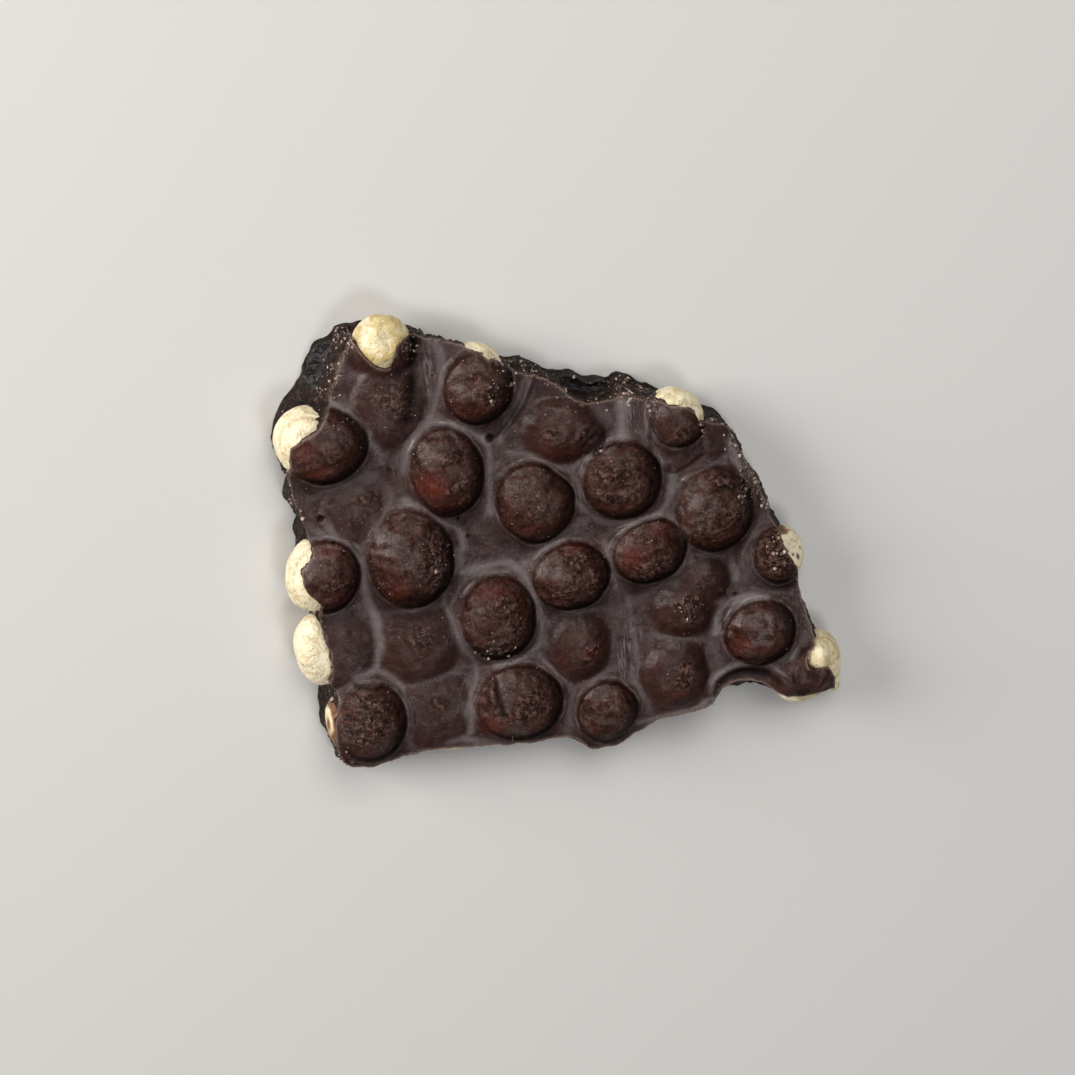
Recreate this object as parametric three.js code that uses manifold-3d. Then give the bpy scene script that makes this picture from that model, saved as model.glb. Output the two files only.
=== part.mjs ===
// A broken slab of dark chocolate with whole hazelnuts, lying on its flat moulded side.
// Millimetres, +Z up. The origin is on the underside, near its middle.
// Every nut stands on the mould floor. Chocolate fills the slab to its web height and coats the nuts,
// so each nut shows as a dome. Where the slab was broken, the nuts on the break stand bare.

import * as THREE from 'three';
import { mergeVertices } from 'three/addons/utils/BufferGeometryUtils.js';
import Module from 'manifold-3d';

const wasm = await Module();
wasm.setup();

// ---- Driving sizes ----
const WEB = 10.0;            // thickness of the chocolate between the nuts
const WEB_SWELL = 0.45;      // how far that thickness rises and falls over the slab
const SWELL_LENGTH = 27;     // distance over which it does so
const NUT_MIDDLE = 7.4;      // height of a nut's middle over the underside
const CLEAR = 0.3;           // gap between a nut and its socket
const ROUGH = 0.55;          // depth of the crags on a broken edge
const CRAG = 1.8;            // length of one crag, in points of the rim and in bands
const CRAG_SEED = 40;
const FACE_COLUMNS = 54;     // cells across the face
const FACE_ROWS = 45;        // cells up the face
const EDGE_LEVELS = 5;       // bands from the face down to the underside
const NUT_SIDES = 16;
const NUT_RINGS = 8;
const RIB = 0.028;           // depth of a kernel's ribs, as a share of its radius
const DENT = 0.03;           // the same for its dents
const POINT = 0.05;          // the same for the height of its blunt point
const CHOCOLATE_COLOUR = 0x2b1d1a;
const KERNEL_COLOUR = 0xe8d6a4;
const SKIN_COLOUR = 0x8a4a26;
const SKINNED = ['hazelnut_left_corner'];    // kernels that still have their brown skin

// ---- The four broken edges, corner to corner, at the face and at the underside ----
// Corners: top left, top right, bottom right, bottom left.
const FACE_EDGES = {
  top: [[-39.7, 43.3], [-34, 43.6], [-25, 43.2], [-16.5, 38.4], [-6, 33.6], [6, 29.2], [18, 24.8],
    [27.5, 22.4], [34, 17.7]],
  right: [[34, 17.7], [37.5, 9], [41.2, 0.6], [44, -8.2], [46.8, -15.5], [49.4, -25], [53, -33.5],
    [53.7, -40.2]],
  bottom: [[-47, -41.5], [-39.8, -42.9], [-30, -41.8], [-14, -42.4], [-3, -42.6], [3.4, -45.9], [13.7, -43.4],
    [27, -40.8], [31, -37.4], [36, -36.2], [43.4, -39.3], [48.6, -41], [53.7, -40.2]],
  left: [[-47, -41.5], [-47.2, -28], [-47.8, -12], [-48.4, -7.6], [-51.2, -2.5], [-49.4, 4.6], [-51.3, 12.5],
    [-51.8, 22], [-46, 33], [-43, 37], [-39.7, 43.3]],
};
const BASE_EDGES = {
  top: [[-40, 43], [-33, 44.6], [-23.6, 40.6], [-15.7, 38], [-8.1, 34.2], [-4.3, 32.6], [1.4, 29.4],
    [8.3, 27.6], [15.5, 27], [22.7, 23.8], [34.8, 17.6]],
  right: [[34.8, 17.6], [40, 7], [44.2, -2], [47.6, -13], [50.4, -24], [53.6, -33], [54.6, -41.4]],
  bottom: [[-47.4, -43.2], [-33, -43.6], [-16, -43.4], [2, -46.2], [17, -44.6], [31, -41.6], [42, -42.2],
    [54.6, -41.4]],
  left: [[-47.4, -43.2], [-49.6, -35], [-49.2, -28], [-48.2, -18], [-49.8, -8], [-50.8, 4], [-52.2, 14],
    [-53, 27.6], [-50, 32], [-44.9, 40], [-40, 43]],
};

// Places where the coat has broken off a nut: a round patch of the face, taken down to a floor height.
const CHIPS = [
  { x: -31.6, y: 43.4, radius: 7.2, floor: 5.6 },
  { x: -52.6, y: 28.4, radius: 7.2, floor: 4.6 },
  { x: 7.4, y: 31.2, radius: 5.2, floor: 1.6 },
  { x: 26.2, y: 26.2, radius: 4.2, floor: 5.4 },
  { x: -48.6, y: -8.9, radius: 2.7, floor: 4.0 },
  { x: 49.6, y: -9.0, radius: 4.2, floor: 4.6 },
  { x: 53.6, y: -32.4, radius: 5.2, floor: 4.4 },
];

// ---- The hazelnuts, row by row from the top edge down ----
// x and y of the middle, breadth and length of the dome at web height, its turn in degrees,
// the height of its crest, and the radius with which the chocolate runs into it.
const NUTS = {
  top_left: { x: -14.7, y: 32.2, breadth: 13.8, length: 14.2, turn: 0, crest: 14.2, fillet: 1.4 },
  under_rim: { x: -32.4, y: 30.2, breadth: 13.0, length: 14.5, turn: 0, crest: 12.1, fillet: 2.6 },
  left_upper: { x: -45.2, y: 24.4, breadth: 16.2, length: 14.6, turn: 0, crest: 14.6, fillet: 1.2 },
  top_right: { x: 24.2, y: 21.4, breadth: 10.8, length: 10.4, turn: 0, crest: 12.9, fillet: 1.6 },
  cracked: { x: 1.0, y: 21.3, breadth: 15.0, length: 12.6, turn: -12, crest: 12.7, fillet: 2.2 },
  cracked_side: { x: 6.4, y: 19.4, breadth: 6.4, length: 6.8, turn: 0, crest: 12.4, fillet: 1.4 },
  low_right: { x: 26.6, y: 16.4, breadth: 13.6, length: 12.6, turn: 0, crest: 11.5, fillet: 2.4 },
  tall: { x: -22.3, y: 16.3, breadth: 14.2, length: 18.0, turn: 8, crest: 14.7, fillet: 1.3 },
  low_left: { x: -40.9, y: 10.0, breadth: 10.7, length: 10.1, turn: 0, crest: 11.5, fillet: 2.6 },
  middle: { x: -5.3, y: 8.1, breadth: 15.2, length: 16.6, turn: 28, crest: 14.0, fillet: 1.8 },
  right_of_middle: { x: 12.0, y: 10.1, breadth: 15.4, length: 15.2, turn: 0, crest: 14.5, fillet: 1.2 },
  right_big: { x: 30.4, y: 1.9, breadth: 15.6, length: 17.4, turn: 0, crest: 14.5, fillet: 1.2 },
  left_middle: { x: -47.0, y: -1.7, breadth: 13.4, length: 15.2, turn: 0, crest: 13.8, fillet: 1.2 },
  biggest: { x: -30.5, y: 0.0, breadth: 16.2, length: 19.2, turn: 6, crest: 15.2, fillet: 1.1 },
  slanted: { x: 16.7, y: -5.1, breadth: 15.0, length: 12.6, turn: 24, crest: 14.3, fillet: 1.2 },
  right_upper: { x: 43.2, y: -9.6, breadth: 10.6, length: 11.8, turn: 0, crest: 13.0, fillet: 1.4 },
  centre_low: { x: 0.6, y: -8.5, breadth: 15.0, length: 13.8, turn: -10, crest: 13.9, fillet: 1.4 },
  round: { x: -14.4, y: -14.6, breadth: 14.6, length: 17.2, turn: 0, crest: 14.5, fillet: 1.2 },
  left_lower: { x: -46.6, y: -17.0, breadth: 13.8, length: 14.4, turn: 0, crest: 11.4, fillet: 2.6 },
  pair_upper: { x: 27.0, y: -13.2, breadth: 10.3, length: 9.3, turn: 0, crest: 12.6, fillet: 1.8 },
  pair_lower: { x: 23.3, y: -18.6, breadth: 11.5, length: 11.0, turn: 0, crest: 12.9, fillet: 1.8 },
  smooth: { x: -30.0, y: -18.9, breadth: 13.9, length: 15.1, turn: 0, crest: 12.0, fillet: 2.6 },
  half_sunk: { x: 1.7, y: -23.6, breadth: 11.4, length: 13.2, turn: 0, crest: 12.7, fillet: 2.0 },
  glossy: { x: 38.2, y: -25.7, breadth: 14.6, length: 13.2, turn: 0, crest: 14.1, fillet: 1.2 },
  right_lower: { x: 49.6, y: -34.0, breadth: 9.4, length: 11.6, turn: 0, crest: 12.6, fillet: 1.2 },
  bottom_sunk: { x: 20.8, y: -32.2, breadth: 12.6, length: 13.8, turn: 0, crest: 12.9, fillet: 2.0 },
  creased: { x: -11.5, y: -33.3, breadth: 16.6, length: 15.2, turn: -15, crest: 14.5, fillet: 1.2 },
  corner: { x: -41.0, y: -33.6, breadth: 14.2, length: 16.4, turn: 0, crest: 14.5, fillet: 1.1 },
  flat: { x: -27.8, y: -33.0, breadth: 12.4, length: 13.2, turn: 0, crest: 11.3, fillet: 2.6 },
  bottom_point: { x: 6.2, y: -38.2, breadth: 12.2, length: 13.0, turn: 0, crest: 13.7, fillet: 1.6 },
  bottom_right: { x: 44.8, y: -36.8, breadth: 9.6, length: 8.4, turn: 0, crest: 12.4, fillet: 1.2 },
};

// Nuts that stand bare in a broken edge: middle, half sizes along X, Y and Z, and turn in degrees.
// One was broken through with the slab, and ends at that plane.
const BARE = {
  hazelnut_top_left: { at: [-32.0, 42.6, 8.4], half: [5.8, 5.6, 5.3], turn: 10 },
  hazelnut_top_middle: { at: [-14.2, 32.9, 7.3], half: [6.6, 6.5, 5.8], turn: -15 },
  hazelnut_top_right: { at: [24.9, 21.4, 7.3], half: [5.5, 5.4, 4.5], turn: 0 },
  hazelnut_left_upper: { at: [-46.5, 24.6, 7.4], half: [7.2, 6.6, 6.0], turn: 12 },
  hazelnut_left_middle: { at: [-47.2, -2.3, 7.4], half: [6.6, 7.0, 5.4], turn: 0 },
  hazelnut_left_lower: { at: [-48.4, -19.2, 5.9], half: [6.4, 7.0, 5.2], turn: 6 },
  hazelnut_left_corner: { at: [-42.3, -34.0, 6.7], half: [7.3, 7.9, 5.9], turn: 0 },
  hazelnut_right_upper: { at: [43.2, -9.6, 7.4], half: [5.8, 5.9, 4.6], turn: -20 },
  hazelnut_right_lower: { at: [51.0, -35.2, 6.9], half: [4.6, 6.2, 5.2], turn: 0 },
  hazelnut_bottom_right: { at: [42.2, -39.2, 5.8], half: [5.0, 3.4, 4.4], turn: 0 },
  hazelnut_bottom_whole: { at: [-24.5, -39.0, 5.6], half: [5.9, 5.0, 4.4], turn: 0 },
  hazelnut_bottom_cut: { at: [-3.6, -40.0, 5.2], half: [5.6, 5.2, 4.0], turn: 0, brokenAt: -43.6 },
};

// Sockets that a nut has dropped out of: middle and half sizes of the hollow.
const EMPTY_SOCKETS = [
  { at: [-47.6, 40.2, 7.2], half: [6.6, 6.4, 5.9] },
  { at: [7.4, 31.4, 6.4], half: [6.2, 5.6, 5.4] },
  { at: [-52.6, 7.4, 6.2], half: [2.0, 1.9, 2.3] },
  { at: [21.5, -46.6, 5.8], half: [7.0, 5.6, 5.2] },
];

// Repeatable value from 0 to 1 for a cell of a grid.
function hash(i, j) {
  const s = Math.sin(i * 127.1 + j * 311.7) * 43758.5453;
  return s - Math.floor(s);
}

// Smooth noise from -1 to 1.
function noise(x, y) {
  const i = Math.floor(x);
  const j = Math.floor(y);
  const u = THREE.MathUtils.smoothstep(x - i, 0, 1);
  const v = THREE.MathUtils.smoothstep(y - j, 0, 1);
  const low = THREE.MathUtils.lerp(hash(i, j), hash(i + 1, j), u);
  const high = THREE.MathUtils.lerp(hash(i, j + 1), hash(i + 1, j + 1), u);
  return 2 * THREE.MathUtils.lerp(low, high, v) - 1;
}

// The larger of two heights, with a fillet where they are close.
function smoothMax(a, b, radius) {
  const near = Math.max(radius - Math.abs(a - b), 0) / radius;
  return Math.max(a, b) + near * near * radius / 4;
}

// Half sizes of the coated nut under a dome: its ellipsoid has the dome's breadth and length at web height.
function coatedNut(nut) {
  const rise = nut.crest - NUT_MIDDLE;
  const share = Math.sqrt(1 - ((WEB - NUT_MIDDLE) / rise) ** 2);
  return [nut.breadth / 2 / share, nut.length / 2 / share, rise];
}

function domeHeight(nut, x, y) {
  const [a, b, rise] = coatedNut(nut);
  const turn = THREE.MathUtils.degToRad(nut.turn);
  const dx = x - nut.x;
  const dy = y - nut.y;
  const across = (dx * Math.cos(turn) + dy * Math.sin(turn)) / a;
  const along = (dy * Math.cos(turn) - dx * Math.sin(turn)) / b;
  const out = across * across + along * along;
  return out < 1 ? NUT_MIDDLE + rise * Math.sqrt(1 - out) : NUT_MIDDLE - rise * (out - 1);
}

// Height of the chocolate's face: the web, with every dome run into it.
function faceHeight(x, y) {
  let z = WEB + WEB_SWELL * noise(x / SWELL_LENGTH, y / SWELL_LENGTH);
  for (const nut of Object.values(NUTS)) z = smoothMax(z, domeHeight(nut, x, y), nut.fillet);
  return z;
}

// An edge as evenly spaced points on a smooth curve.
function edgePoints(corners, cells) {
  const points = corners.map(([x, y]) => new THREE.Vector3(x, y, 0));
  return new THREE.CatmullRomCurve3(points, false, 'centripetal').getSpacedPoints(cells);
}

function outline(edges) {
  const made = {};
  for (const name of Object.keys(edges)) {
    made[name] = edgePoints(edges[name], name === 'top' || name === 'bottom' ? FACE_COLUMNS : FACE_ROWS);
  }
  // The left edge runs up and the right edge down, so the right one is turned to run up.
  made.right.reverse();
  return made;
}

// A point of the patch between the four edges, with u across and v up.
function patchPoint({ top, right, bottom, left }, i, j) {
  const u = i / FACE_COLUMNS;
  const v = j / FACE_ROWS;
  const mix = (key) => (1 - v) * bottom[i][key] + v * top[i][key] + (1 - u) * left[j][key] + u * right[j][key]
    - (1 - u) * (1 - v) * bottom[0][key] - u * (1 - v) * bottom[FACE_COLUMNS][key]
    - (1 - u) * v * top[0][key] - u * v * top[FACE_COLUMNS][key];
  return [mix('x'), mix('y')];
}

// The underside's rim in the same order as faceRim's, anticlockwise from the bottom left corner.
function baseRim({ top, right, bottom, left }) {
  return [
    ...bottom.slice(0, -1),
    ...right.slice(0, -1),
    ...top.slice(1).reverse(),
    ...left.slice(1).reverse(),
  ];
}

function faceRim() {
  const rim = [];
  for (let i = 0; i < FACE_COLUMNS; i++) rim.push(faceId(i, 0));
  for (let j = 0; j < FACE_ROWS; j++) rim.push(faceId(FACE_COLUMNS, j));
  for (let i = FACE_COLUMNS; i > 0; i--) rim.push(faceId(i, FACE_ROWS));
  for (let j = FACE_ROWS; j > 0; j--) rim.push(faceId(0, j));
  return rim;
}

function faceId(i, j) {
  return j * (FACE_COLUMNS + 1) + i;
}

// Two triangles for a four-sided cell, parted along the diagonal with the smaller step in height.
function addCell(surface, a, b, c, d) {
  const rise = (p, q) => Math.abs(surface.position[p * 3 + 2] - surface.position[q * 3 + 2]);
  if (rise(a, c) <= rise(b, d)) surface.index.push(a, b, c, a, c, d);
  else surface.index.push(a, b, d, b, c, d);
}

function addFace(surface, edges) {
  for (let j = 0; j <= FACE_ROWS; j++) {
    for (let i = 0; i <= FACE_COLUMNS; i++) {
      const [x, y] = patchPoint(edges, i, j);
      surface.position.push(x, y, faceHeight(x, y));
    }
  }
  for (let j = 0; j < FACE_ROWS; j++) {
    for (let i = 0; i < FACE_COLUMNS; i++) {
      addCell(surface, faceId(i, j), faceId(i + 1, j), faceId(i + 1, j + 1), faceId(i, j + 1));
    }
  }
}

// The broken sides: bands from the face's rim down to the underside's, pushed in and out by crags.
// Returns the lowest ring, which lies on the underside.
function addBrokenSides(surface, low) {
  const rim = faceRim();
  const count = rim.length;
  let above = rim;
  for (let level = 1; level <= EDGE_LEVELS; level++) {
    const down = level / EDGE_LEVELS;
    const ring = [];
    for (let k = 0; k < count; k++) {
      const [x, y, z] = surface.position.slice(rim[k] * 3, rim[k] * 3 + 3);
      const before = low[(k + count - 1) % count];
      const after = low[(k + 1) % count];
      const outward = new THREE.Vector2(after.y - before.y, before.x - after.x).normalize();
      const crag = level < EDGE_LEVELS ? ROUGH * noise(k / CRAG, level / CRAG + CRAG_SEED) : 0;
      ring.push(surface.position.length / 3);
      surface.position.push(
        THREE.MathUtils.lerp(x, low[k].x, down) + outward.x * crag,
        THREE.MathUtils.lerp(y, low[k].y, down) + outward.y * crag,
        THREE.MathUtils.lerp(z, 0, down),
      );
    }
    for (let k = 0; k < count; k++) {
      addCell(surface, ring[k], ring[(k + 1) % count], above[(k + 1) % count], above[k]);
    }
    above = ring;
  }
  return above;
}

function addUnderside(surface, ring) {
  const flat = ring.map((id) => new THREE.Vector2(surface.position[id * 3], surface.position[id * 3 + 1]));
  for (const [a, b, c] of THREE.ShapeUtils.triangulateShape(flat, [])) {
    surface.index.push(ring[c], ring[b], ring[a]);
  }
}

// The whole slab, before nuts and chips are cut from it.
function slabGeometry() {
  const surface = { position: [], index: [] };
  addFace(surface, outline(FACE_EDGES));
  addUnderside(surface, addBrokenSides(surface, baseRim(outline(BASE_EDGES))));
  const geometry = new THREE.BufferGeometry();
  geometry.setAttribute('position', new THREE.Float32BufferAttribute(surface.position, 3));
  geometry.setIndex(surface.index);
  return geometry;
}

function toSolid(geometry) {
  const bare = geometry.clone();
  bare.deleteAttribute('normal');
  bare.deleteAttribute('uv');
  const merged = mergeVertices(bare, 1e-4);
  return new wasm.Manifold(new wasm.Mesh({
    numProp: 3,
    vertProperties: Float32Array.from(merged.attributes.position.array),
    triVerts: Uint32Array.from(merged.index.array),
  }));
}

function toGeometry(solid) {
  const mesh = solid.getMesh();
  const geometry = new THREE.BufferGeometry();
  geometry.setAttribute('position', new THREE.BufferAttribute(Float32Array.from(mesh.vertProperties), 3));
  geometry.setIndex(new THREE.BufferAttribute(Uint32Array.from(mesh.triVerts), 1));
  geometry.computeVertexNormals();
  return geometry;
}

// A hazelnut kernel about its own middle: an ellipsoid with a blunt point, shallow ribs and dents.
// grown is how far its surface is moved out, as for its socket.
function kernelGeometry([a, b, c], seed, grown) {
  const geometry = new THREE.SphereGeometry(1, NUT_SIDES, NUT_RINGS);
  const points = geometry.attributes.position;
  for (let i = 0; i < points.count; i++) {
    const p = new THREE.Vector3().fromBufferAttribute(points, i);
    const girth = Math.hypot(p.x, p.z);
    const angle = girth < 1e-6 ? 0 : Math.atan2(p.z, p.x);
    const rib = RIB * girth * Math.cos(5 * angle + seed);
    const dent = DENT * girth * Math.cos(2 * angle + 2 * seed) * p.y;
    const point = POINT * Math.max(p.y, 0) ** 4;
    p.multiplyScalar(1 + rib + dent + point);
    points.setXYZ(i, p.x * (a + grown), p.y * (b + grown), p.z * (c + grown));
  }
  return geometry;
}

// The block beyond the plane y = from, in the frame of the piece it is cut from.
function blockBeyond(from) {
  const size = 40;
  const block = new THREE.BoxGeometry(size, size, size);
  block.translate(0, from - size / 2, 0);
  return toSolid(block);
}

function kernelMesh([name, { at, half, turn, brokenAt }], seed) {
  let geometry = kernelGeometry(half, seed, 0);
  if (brokenAt !== undefined) {
    geometry = toGeometry(toSolid(geometry).subtract(blockBeyond(brokenAt - at[1])));
  }
  const color = SKINNED.includes(name) ? SKIN_COLOUR : KERNEL_COLOUR;
  const mesh = new THREE.Mesh(geometry, new THREE.MeshStandardMaterial({ color, roughness: 0.6, metalness: 0 }));
  mesh.name = name;
  mesh.position.set(...at);
  mesh.rotation.z = THREE.MathUtils.degToRad(turn);
  return mesh;
}

function socketSolid({ at, half, turn }, seed) {
  const socket = kernelGeometry(half, seed, CLEAR);
  socket.rotateZ(THREE.MathUtils.degToRad(turn));
  socket.translate(...at);
  return toSolid(socket);
}

function emptySocketSolid({ at, half }) {
  const hollow = new THREE.SphereGeometry(1, NUT_SIDES, NUT_RINGS);
  hollow.scale(...half);
  hollow.translate(...at);
  return toSolid(hollow);
}

// The space over a chip: a round plug, a little wider at its top, down to the chip's floor.
function chipSolid({ x, y, radius, floor }) {
  const height = 20;
  const plug = new THREE.CylinderGeometry(radius * 1.08, radius * 0.82, height, NUT_SIDES);
  plug.rotateX(Math.PI / 2);
  plug.translate(x, y, floor + height / 2);
  return toSolid(plug);
}

function chocolateMesh() {
  const hollows = [
    ...Object.values(BARE).map(socketSolid),
    ...EMPTY_SOCKETS.map(emptySocketSolid),
    ...CHIPS.map(chipSolid),
  ];
  let solid = toSolid(slabGeometry());
  for (const hollow of hollows) solid = solid.subtract(hollow);
  // A cut can leave a loose scrap, so only the slab itself is kept.
  const [slabSolid] = solid.decompose().sort((p, q) => q.volume() - p.volume());
  const material = new THREE.MeshStandardMaterial({ color: CHOCOLATE_COLOUR, roughness: 0.42, metalness: 0 });
  const mesh = new THREE.Mesh(toGeometry(slabSolid), material);
  mesh.name = 'chocolate';
  return mesh;
}

const slab = new THREE.Group();
slab.name = 'hazelnut_chocolate_slab';
slab.add(chocolateMesh(), ...Object.entries(BARE).map(kernelMesh));

export default slab;
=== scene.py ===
"""A broken slab of dark chocolate with whole hazelnuts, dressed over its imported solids.

Lengths in this file are millimetres in the part's own frame, and are turned to metres where a mesh is made.
"""

import math
from collections import namedtuple
from types import SimpleNamespace

import bpy
import numpy as np
from mathutils import Matrix, Vector


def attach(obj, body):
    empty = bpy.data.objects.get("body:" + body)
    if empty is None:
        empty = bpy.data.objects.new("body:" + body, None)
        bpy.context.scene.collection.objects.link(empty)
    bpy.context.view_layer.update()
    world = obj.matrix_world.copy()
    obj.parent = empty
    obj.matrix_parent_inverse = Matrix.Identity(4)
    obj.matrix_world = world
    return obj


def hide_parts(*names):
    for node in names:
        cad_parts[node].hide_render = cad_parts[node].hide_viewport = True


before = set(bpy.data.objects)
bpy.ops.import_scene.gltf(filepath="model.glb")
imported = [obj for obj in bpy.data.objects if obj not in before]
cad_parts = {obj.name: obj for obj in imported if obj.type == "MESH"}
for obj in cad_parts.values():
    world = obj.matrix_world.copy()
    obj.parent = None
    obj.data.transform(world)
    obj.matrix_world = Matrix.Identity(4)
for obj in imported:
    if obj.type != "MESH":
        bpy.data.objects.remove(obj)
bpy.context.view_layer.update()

bl_info = {
    "name": "Hazelnut chocolate slab",
    "version": (1, 0, 0),
    "blender": (4, 5, 0),
    "location": "3D View > Sidebar > Chocolate",
    "description": "Makes a broken slab of dark chocolate with whole hazelnuts, and a studio for it",
    "category": "Add Mesh",
}

MM = 0.001                  # metres in a millimetre
FACE_COLUMNS = 276          # cells across the poured face
FACE_ROWS = 226             # cells up the poured face
BREAK_LEVELS = 26           # bands down a broken side
KERNEL_SIDES = 112          # points round a kernel
KERNEL_RINGS = 72           # bands from one end of a kernel to the other
SWELL_LENGTH = 27           # distance over which the web rises and falls
WEB_LUMPS = ((9, 0.32, 2), (4.6, 0.16, 4))          # lumps of the web: size, height, seed
STANDING = (11.6, 13.2)     # crest heights between which a nut comes to stand out of the web
PROUD = (11.0, 13.4)        # the same, for how its coat looks
MENISCUS = ((0.8, 0.11), (2.2, 0.12))               # rise of the web at a nut: reach, share of its height
MENISCUS_END = 5            # share of a nut's foot past which it no longer lifts the web
MOAT_PLACE, MOAT_WIDTH = 0.1, 0.35                  # where the dip round a nut lies, outside its foot
FOOT_REACH = 9.0            # greatest distance from a nut's foot that the material is told
SPLINE_STEPS = 16           # stretches of a groove or a band
JAG_STEP = 0.4              # distance taken for one cell of the rim in the noise of its jags
SLIDE = (-0.35, 1.25)       # the smoothstep along which a break slides outward on its way down
RIM_JAG, BASE_JAG = 0.22, 0.35                          # depth of the jags round the face and the underside
SIDE_LUMPS, SIDE_CRAGS, SIDE_PITS = 0.42, 0.34, 0.5     # depth of the shapes in a break
FOLD_DEPTH, SEAM_DEPTH, POCK_DEPTH = 0.035, 0.05, 0.03  # as shares of a kernel's size
SEAM_WIDTH = 0.045          # as a share of a kernel's size
CRUMB_LEAST, CRUMB_MORE = 0.08, 0.2     # half size of the least crumb, and how much more the greatest has
CRUMB_LOT = 5               # number that starts the lot by which the crumbs are placed

# ---- Shape of the slab ----
# Rungs run round the slab from its face to its underside: x and y on the face's rim, then x and y below.
TOP_RUNGS = (
    (-38.0, 44.6, -39.8, 44.4), (-37.6, 43.4, -38.2, 44.8), (-36.9, 42.0, -36.6, 44.8),
    (-35.6, 40.2, -35.0, 44.8), (-33.8, 38.6, -33.4, 44.8), (-31.9, 38.0, -31.6, 44.6),
    (-30.6, 38.2, -30.4, 44.1), (-29.9, 39.6, -29.6, 43.8), (-29.8, 41.2, -29.0, 43.7),
    (-29.7, 42.4, -28.2, 43.6), (-28.2, 43.4, -27.2, 43.3), (-26.6, 44.1, -25.8, 42.7),
    (-25.0, 43.5, -24.6, 42.0), (-23.4, 42.8, -22.8, 40.8), (-20.6, 41.7, -20.0, 39.9),
    (-17.6, 40.8, -17.0, 39.0), (-16.3, 40.1, -15.8, 38.4), (-14.8, 39.3, -14.2, 37.7),
    (-13.0, 38.1, -12.5, 36.8), (-11.0, 37.1, -10.8, 35.6), (-9.3, 35.8, -9.2, 34.8),
    (-7.1, 34.3, -7.2, 34.6), (-4.2, 33.0, -4.4, 33.8), (-1.0, 31.9, -1.6, 32.3), (1.3, 29.9, 1.0, 31.0),
    (4.0, 27.3, 4.4, 30.2), (6.4, 26.2, 7.0, 29.2), (9.3, 25.8, 10.2, 28.4), (12.0, 26.1, 12.6, 28.0),
    (14.0, 26.3, 14.8, 28.5), (17.0, 25.6, 17.4, 27.2), (19.4, 24.9, 20.0, 25.8), (21.2, 24.4, 21.6, 24.8),
    (22.6, 24.0, 23.2, 24.0), (24.4, 23.7, 25.0, 23.2), (26.1, 23.0, 26.8, 22.4), (27.5, 21.6, 28.0, 21.2),
    (28.4, 19.8, 29.6, 20.2), (30.6, 19.0, 31.6, 19.6), (33.0, 18.4, 33.6, 19.0), (34.0, 17.7, 34.8, 17.6),
)
RIGHT_RUNGS = (
    (34.0, 17.7, 34.8, 17.6), (35.8, 13.7, 37.0, 14.2), (37.3, 10.0, 38.6, 10.4), (38.6, 7.2, 39.8, 7.0),
    (40.1, 3.8, 42.0, 4.2), (41.1, 0.6, 43.0, 0.8), (42.4, -2.8, 44.2, -2.8), (43.4, -4.6, 44.6, -5.0),
    (43.7, -6.4, 45.0, -6.8), (44.1, -8.2, 45.4, -8.4), (45.0, -10.1, 46.0, -10.2),
    (45.9, -11.6, 46.6, -11.8), (46.7, -13.4, 47.2, -13.6), (47.2, -16.1, 48.2, -16.3),
    (47.7, -19.4, 48.9, -19.6), (48.4, -22.7, 49.8, -22.8), (49.4, -26.2, 50.9, -26.4),
    (49.9, -28.0, 51.6, -28.4), (49.5, -29.8, 52.4, -30.2), (48.3, -31.6, 53.0, -31.8),
    (47.9, -33.4, 53.4, -33.4), (48.3, -34.9, 53.7, -34.8), (50.2, -34.9, 54.0, -36.2),
    (52.4, -35.0, 54.2, -37.6), (53.3, -36.6, 54.4, -38.8), (53.7, -38.6, 54.5, -40.2),
    (53.7, -40.2, 54.6, -41.4),
)
BOTTOM_RUNGS = (
    (-47.0, -41.5, -47.4, -43.2), (-44.8, -43.0, -44.8, -43.7), (-39.8, -43.0, -39.8, -43.5),
    (-33.6, -41.9, -33.6, -43.4), (-27.6, -41.5, -27.6, -43.0), (-21.6, -42.3, -21.6, -43.4),
    (-14.5, -42.5, -14.5, -43.6), (-9.4, -42.6, -9.4, -44.0), (-3.3, -42.8, -3.3, -45.0),
    (0.4, -43.8, 0.4, -45.8), (3.2, -46.3, 3.4, -46.2), (6.1, -46.2, 7.0, -46.2), (9.6, -45.4, 10.4, -45.7),
    (13.0, -43.8, 14.0, -45.0), (17.4, -42.2, 18.0, -44.0), (22.5, -41.5, 22.6, -43.0),
    (28.0, -40.8, 27.4, -42.0), (29.6, -38.2, 30.0, -41.2), (32.5, -36.5, 32.8, -40.8),
    (35.8, -36.1, 36.2, -40.6), (38.6, -37.2, 39.2, -40.8), (41.2, -39.0, 42.0, -41.2),
    (43.4, -40.6, 44.4, -41.8), (46.0, -40.9, 47.0, -42.2), (48.4, -40.6, 49.2, -42.2),
    (51.0, -40.1, 51.6, -41.8), (53.7, -40.2, 54.6, -41.4),
)
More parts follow.
